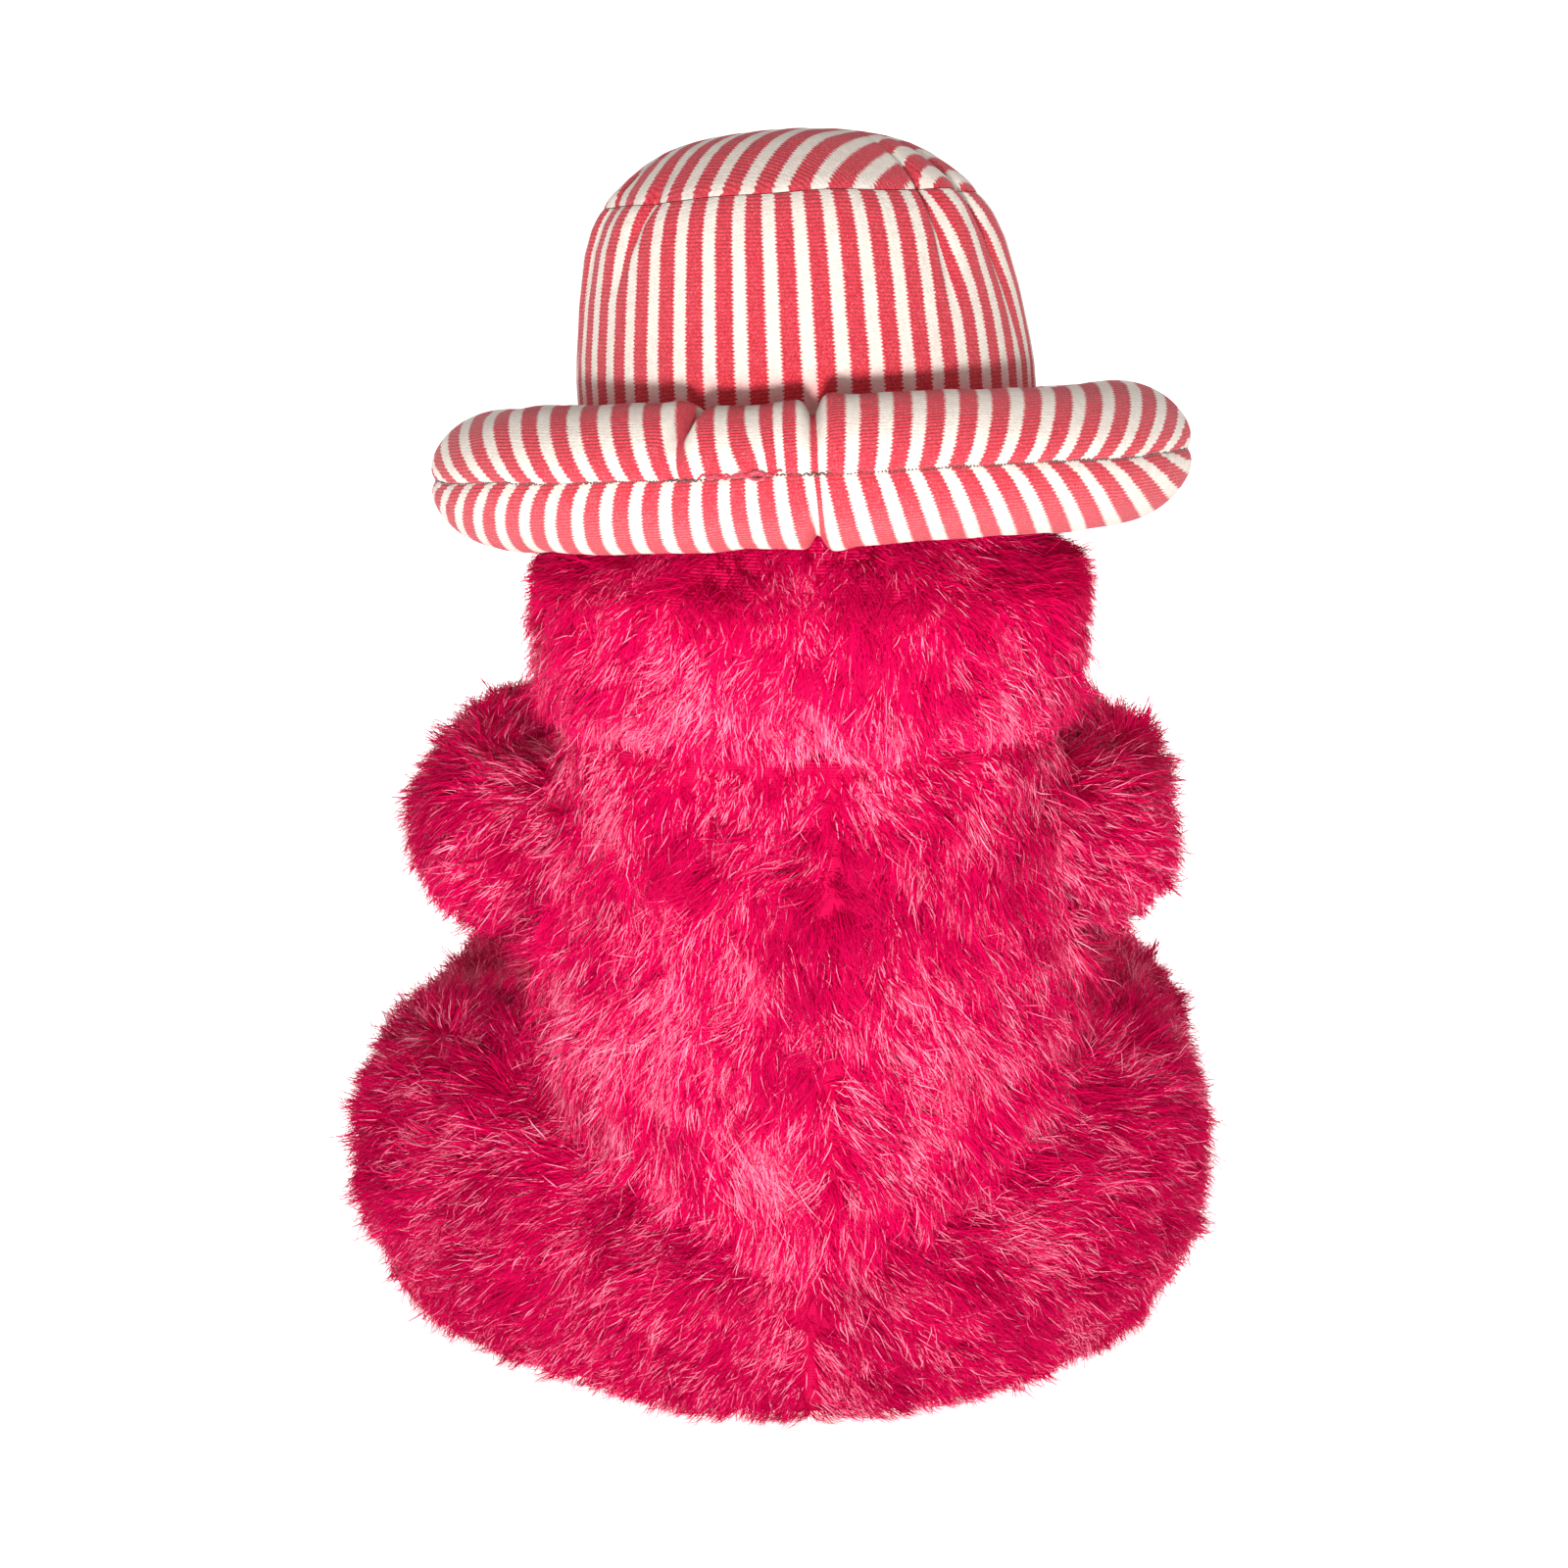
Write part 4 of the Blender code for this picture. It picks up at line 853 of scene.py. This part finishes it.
def brim_seam():
    """Fine stitches round the brim's edge, near-black to paint the seam's shadow line, and the frayed thread
    that tacks the cloth beside its join.
    """
    angles = np.radians(np.linspace(0, 360, 1441))
    weave = np.sin(angles * 340)
    radius = BRIM_EDGE + 0.25 * MM * np.cos(angles * 680)
    line = turned_points(angles, radius, 0.9 * MM * wobble(angles, 3, 11) + 0.35 * MM * weave)
    # stitches in near-black thread: partly a real seam, partly a painted shadow line
    tube("brim_stitches", hat_place(line), 0.22 * MM, SEAM_SHADOW_THREAD, "head")
    for number, (first, last, swing) in enumerate(((-15.5, -7, 1.0), (-14, -9, 1.6), (-10, -4, 1.3)), 1):
        turns = np.radians(np.linspace(first, last, 60))
        radius = BRIM_EDGE + 1.1 * MM + 0.5 * MM * wobble(turns * 40, 2, 40 + number)
        height = swing * MM * (wobble(turns * 30, 2, 50 + number) + 0.3)
        line = hat_place(turned_points(turns, radius, height))
        tube(f"tack_thread_{number}", line, 0.28 * MM, THREAD, "head")
    loops = np.linspace(0, 3.5 * tau, 70)
    radius = BRIM_EDGE + 1.6 * MM + 0.5 * MM * np.sin(loops * 1.7)
    height = MM * np.sin(loops) * 0.9 + 0.2 * MM
    knot = turned_points(np.radians(-7.4) + 0.018 * np.cos(loops), radius, height)
    tube("tack_knot", hat_place(knot), 0.35 * MM, THREAD, "head")


def hat():
    for mesh, node, fill in (
        (brim(1, 1), "hat_brim", 0.8),
        (brim(-1, 2), "hat_brim", 0.8),
        (crown_side(), "hat_crown", 0.5),
        (crown_top(), "hat_crown", 0.5),
    ):
        if mesh.name == "brim_lower" or mesh.name == "crown_side":
            mesh.flip_normals()
        made = piece(mesh.name, mesh, STRIPED, "head", node)
    brim_seam()


# ---------------------------------------------------------------- face, hands, feet, cymbals


def plush_piece(node, body, material, voxel=1.4 * MM, rounds=10, seams=(), thread=None):
    """A stuffed short-pile part, drawn in along seams sewn on its CAD solid's surface."""
    obj = relaxed(node + "_cloth", [node], voxel, rounds)
    mesh = obj.data
    places, normals = coordinates(mesh), normals_of(mesh)
    for line in seams:
        gaps = np.array([np.min(np.linalg.norm(line - place, axis=1)) for place in places])
        places = places - normals * (0.9 * MM * np.exp(-((gaps / (2.2 * MM)) ** 2)))[:, None]
    move_vertices(mesh, places)
    tree = tree_of(obj)
    piece(obj.name, obj, material, body, node)
    for number, line in enumerate(seams, 1):
        laid = [tree.find_nearest(Vector(point))[0] for point in line]
        tube(f"{node}_stitches_{number}", laid, 0.45 * MM, thread or BROWN_THREAD, body)
    return obj


def seen_from_front(node, points):
    """Points (x, z) dropped on to a node's front."""
    tree = tree_of(frame["nodes"][node])
    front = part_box(node)[0][1] - 20 * MM
    hits = [tree.ray_cast(Vector((x, front, z)), Vector((0, 1, 0)))[0] for x, z in points]
    return np.array([hit for hit in hits if hit is not None])


def front_ring(node, share, steps=60):
    """A line round a node's front, at a share of its width and height."""
    low, high = np.array(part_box(node))
    middle, half = (low + high) / 2, (high - low) / 2 * share
    turns = np.linspace(0, tau, steps)
    across, up = middle[0] + half[0] * np.cos(turns), middle[2] + half[2] * np.sin(turns)
    return seen_from_front(node, zip(across, up))


def mouth():
    """A stitched smile and the line from it up to the nose."""
    low, high = np.array(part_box("muzzle"))
    width, height = high[0] - low[0], high[2] - low[2]
    middle = (low[0] + high[0]) / 2
    across = np.linspace(-1, 1, 50)
    smile = [(middle + 0.27 * width * t, low[2] + height * (0.3 + 0.12 * t * t)) for t in across]
    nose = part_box("nose")[0][2]
    line = [(middle, z) for z in np.linspace(low[2] + 0.3 * height, nose, 20)]
    return seen_from_front("muzzle", smile), seen_from_front("muzzle", line)


def finger_lines(side):
    """Three short lines over the front of a paw, between its fingers."""
    node, sign = side + "_hand", 1 if side == "left" else -1
    tree = tree_of(frame["nodes"][node])
    low, high = np.array(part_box(node))
    middle = (low + high) / 2
    forward = Vector((0.45 * sign, -0.89, 0))
    lines = []
    for height in (-0.42, 0.0, 0.42):
        turns = np.linspace(-0.65, 0.65, 26)
        ways = [Matrix.Rotation(turn, 3, "Z") @ forward + Vector((0, 0, height)) for turn in turns]
        hits = [tree.ray_cast(Vector(middle) + way.normalized() * 0.06, -way.normalized())[0] for way in ways]
        lines.append(np.array([hit for hit in hits if hit is not None]))
    return lines


def lathe(profile, sides=72):
    """Rows of points and their maps for a profile of radii and heights turned round its axis."""
    angles = around(sides)
    rows = np.array([turned_points(angles, np.full(sides, r), np.full(sides, z)) for r, z in profile])
    steps = [sqrt((a[0] - b[0]) ** 2 + (a[1] - b[1]) ** 2) for a, b in zip(profile, profile[1:])]
    lengths = np.cumsum([0] + steps)
    maps = [[(c / sides, along) for c in range(sides + 1)] for along in lengths]
    return rows, maps


# The cymbal's outer face: radius and height over its rim's plane, in mm
CYMBAL_PROFILE = (
    (2.0, 6.9), (4.5, 6.9), (6.5, 6.75), (8.5, 6.1), (10.5, 4.9), (12, 3.75), (13.6, 3.2), (16, 2.75),
    (20, 2.05), (24, 1.4), (28, 0.75), (29.6, 0.5), (30, 0.75),
)
CLAP = radians(13)  # from the arms' place at rest to the clap
PIVOT_X, CLAP_AHEAD = 30 * MM, 120 * MM  # from an arm's pivot to the place where the cymbals meet
HALF_GAP = 0.8 * MM  # left between a cymbal and the middle as they clap


def cymbal(side):
    """A spun brass dish with a raised bell, turned edge and rivet, standing where its CAD solid does."""
    sign = 1 if side == "left" else -1
    pivot = Vector(JOINTS["left_arm_swing" if sign > 0 else "right_arm_swing"]["pos_m"])
    outer = [(r * MM, z * MM) for r, z in CYMBAL_PROFILE]
    inner = [(r, z - 0.85 * MM) for r, z in outer]
    profile = outer + [(30.1 * MM, 0.2 * MM)] + inner[::-1] + [outer[0]]
    rows, maps = lathe(profile)
    mesh = weld(grid(side + "_cymbal_brass", rows, maps={"turned": maps}))
    low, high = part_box(side + "_cymbal")
    swing = CLAP * sign
    face = Matrix.Rotation(swing, 4, "Z") @ Matrix.Rotation(sign * pi / 2, 4, "Y")
    place = pivot + Matrix.Rotation(swing, 3, "Z") @ Vector((sign * (HALF_GAP - PIVOT_X), -CLAP_AHEAD, 0))
    place.z = (low[2] + high[2]) / 2
    mesh.transform(Matrix.Translation(place) @ face)
    piece(mesh.name, mesh, BRASS, side + "_arm", side + "_cymbal")


def ball(name, centre, radii, material, body, node):
    bm = bmesh.new()
    bmesh.ops.create_uvsphere(bm, u_segments=40, v_segments=24, radius=1)
    bmesh.ops.scale(bm, verts=bm.verts, vec=radii)
    bmesh.ops.translate(bm, verts=bm.verts, vec=centre)
    mesh = bpy.data.meshes.new(name)
    bm.to_mesh(mesh)
    bm.free()
    return piece(name, mesh, material, body, node)


def eye(side):
    """A glossy bead on an ivory felt disc."""
    low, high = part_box(side + "_eye")
    middle = ((low[0] + high[0]) / 2, (low[2] + high[2]) / 2)
    centre = Vector((middle[0], low[1] + 4 * MM, middle[1]))
    bead = Vector((5.8, 4, 5.8)) * MM
    ball(side + "_eye_bead", centre, bead, BLACK, "head", side + "_eye")
    behind = centre + Vector((0, 3.9 * MM, 0))
    ball(side + "_eye_felt", behind, Vector((8.2, 3.3, 8.6)) * MM, FELT, "head", ())


def nose():
    """A polished bead pressed into the muzzle."""
    low, high = np.array(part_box("nose"))
    middle, half = (low + high) / 2, (high - low) / 2
    deeper = Vector((0, half[1] * 0.3, 0))
    ball("nose_bead", Vector(middle) + deeper, half * (1, 1.3, 1), BLACK, "head", "nose")


def face():
    plush_piece("face_panel", "head", TAN)
    plush_piece("muzzle", "head", TAN, seams=mouth())
    nose()
    for side in ("left", "right"):
        ear = side + "_ear"
        plush_piece(ear, "head", TAN, seams=[front_ring(ear, 0.66)], thread=TAN_THREAD)
        eye(side)
        plush_piece(side + "_hand", side + "_arm", TAN, seams=finger_lines(side))
        sole = side + "_sole"
        plush_piece(sole, "body", TAN, seams=[front_ring(sole, 0.9, 90)], thread=TAN_THREAD)
        cymbal(side)


def carried_over():
    """Materials for the CAD pieces that show as they are."""
    finishes = {
        "white_plastic": WHITE,
        "gear_plastic": GEAR,
        "steel": STEEL,
        "black_plastic": BLACK,
        "circuit_board": BOARD,
        "battery_sleeve": SLEEVE,
        "speaker_cone": CONE,
        "brass_plating": STEEL,
        "tan_plush": TAN,
    }
    for part in frame["record"]["subparts"]:
        finish = finishes.get(part["material_slot"])
        if finish:
            mesh = frame["nodes"][part["node"]].data
            mesh.materials.clear()
            mesh.materials.append(finish)


# ---------------------------------------------------------------- camera, light, floor


def aim(obj, target):
    obj.rotation_euler = (Vector(target) - obj.location).to_track_quat("-Z", "Y").to_euler()


def lamp(name, place, target, size, power):
    data = bpy.data.lights.new(name, "AREA")
    data.shape = "DISK"
    data.size = size
    data.energy = power
    obj = link(bpy.data.objects.new(name, data))
    obj.location = place
    aim(obj, target)


def studio():
    camera = link(bpy.data.objects.new("camera", bpy.data.cameras.new("camera")))
    camera.data.sensor_width = 36
    camera.data.lens = 71.3
    camera.location = (0, AXIS[1] + 0.8, 0.36)
    aim(camera, (0, AXIS[1], 0.155))
    bpy.context.scene.camera = camera
    flash = link(bpy.data.objects.new("flash", bpy.data.lights.new("flash", "SPOT")))
    flash.data.energy = 42
    flash.data.spot_size = radians(37)
    flash.data.spot_blend = 1.0
    flash.data.shadow_soft_size = 0.04
    flash.location = (0.03, AXIS[1] + 0.85, 0.21)
    aim(flash, (0, AXIS[1], 0.17))
    lamp("front_fill", (-0.6, -1.1, 0.9), (0, 0, 0.12), 0.9, 10)
    lamp("front_low", (0.5, -1.2, 0.35), (0, 0, 0.15), 0.7, 9)
    bpy.context.scene.world = sky()
    bpy.context.scene.view_settings.view_transform = "Standard"
    bpy.ops.mesh.primitive_plane_add(size=600, location=(0, 0, 0))
    floor = bpy.context.active_object
    floor.name = "floor"
    pale = Shader("pale_floor", Roughness=0.9, Emission_Strength=0.85)
    pale.set("Base Color", pale.ramp(pale.noise(3), (0.0, (0.88, 0.88, 0.88)), (1.0, (0.91, 0.91, 0.91))))
    pale.set("Emission Color", (1, 1, 1, 1))
    floor.data.materials.append(pale.material)


def sky():
    """Soft light from all round, brightest near the horizon."""
    world = bpy.data.worlds.new("studio")
    world.use_nodes = True
    tree = world.node_tree
    where = tree.nodes.new("ShaderNodeTexCoord")
    parts = tree.nodes.new("ShaderNodeSeparateXYZ")
    height = tree.nodes.new("ShaderNodeMapRange")
    height.inputs["From Min"].default_value = 0.12
    height.inputs["From Max"].default_value = 0.5
    height.inputs["To Min"].default_value = 1.0
    height.inputs["To Max"].default_value = 0.42
    tree.links.new(where.outputs["Generated"], parts.inputs[0])
    tree.links.new(parts.outputs["Z"], height.inputs["Value"])
    tree.links.new(height.outputs[0], tree.nodes["Background"].inputs["Strength"])
    tree.nodes["Background"].inputs["Color"].default_value = (1, 1, 1, 1)
    return world


studio()
carried_over()
furry_parts()
hat()
face()
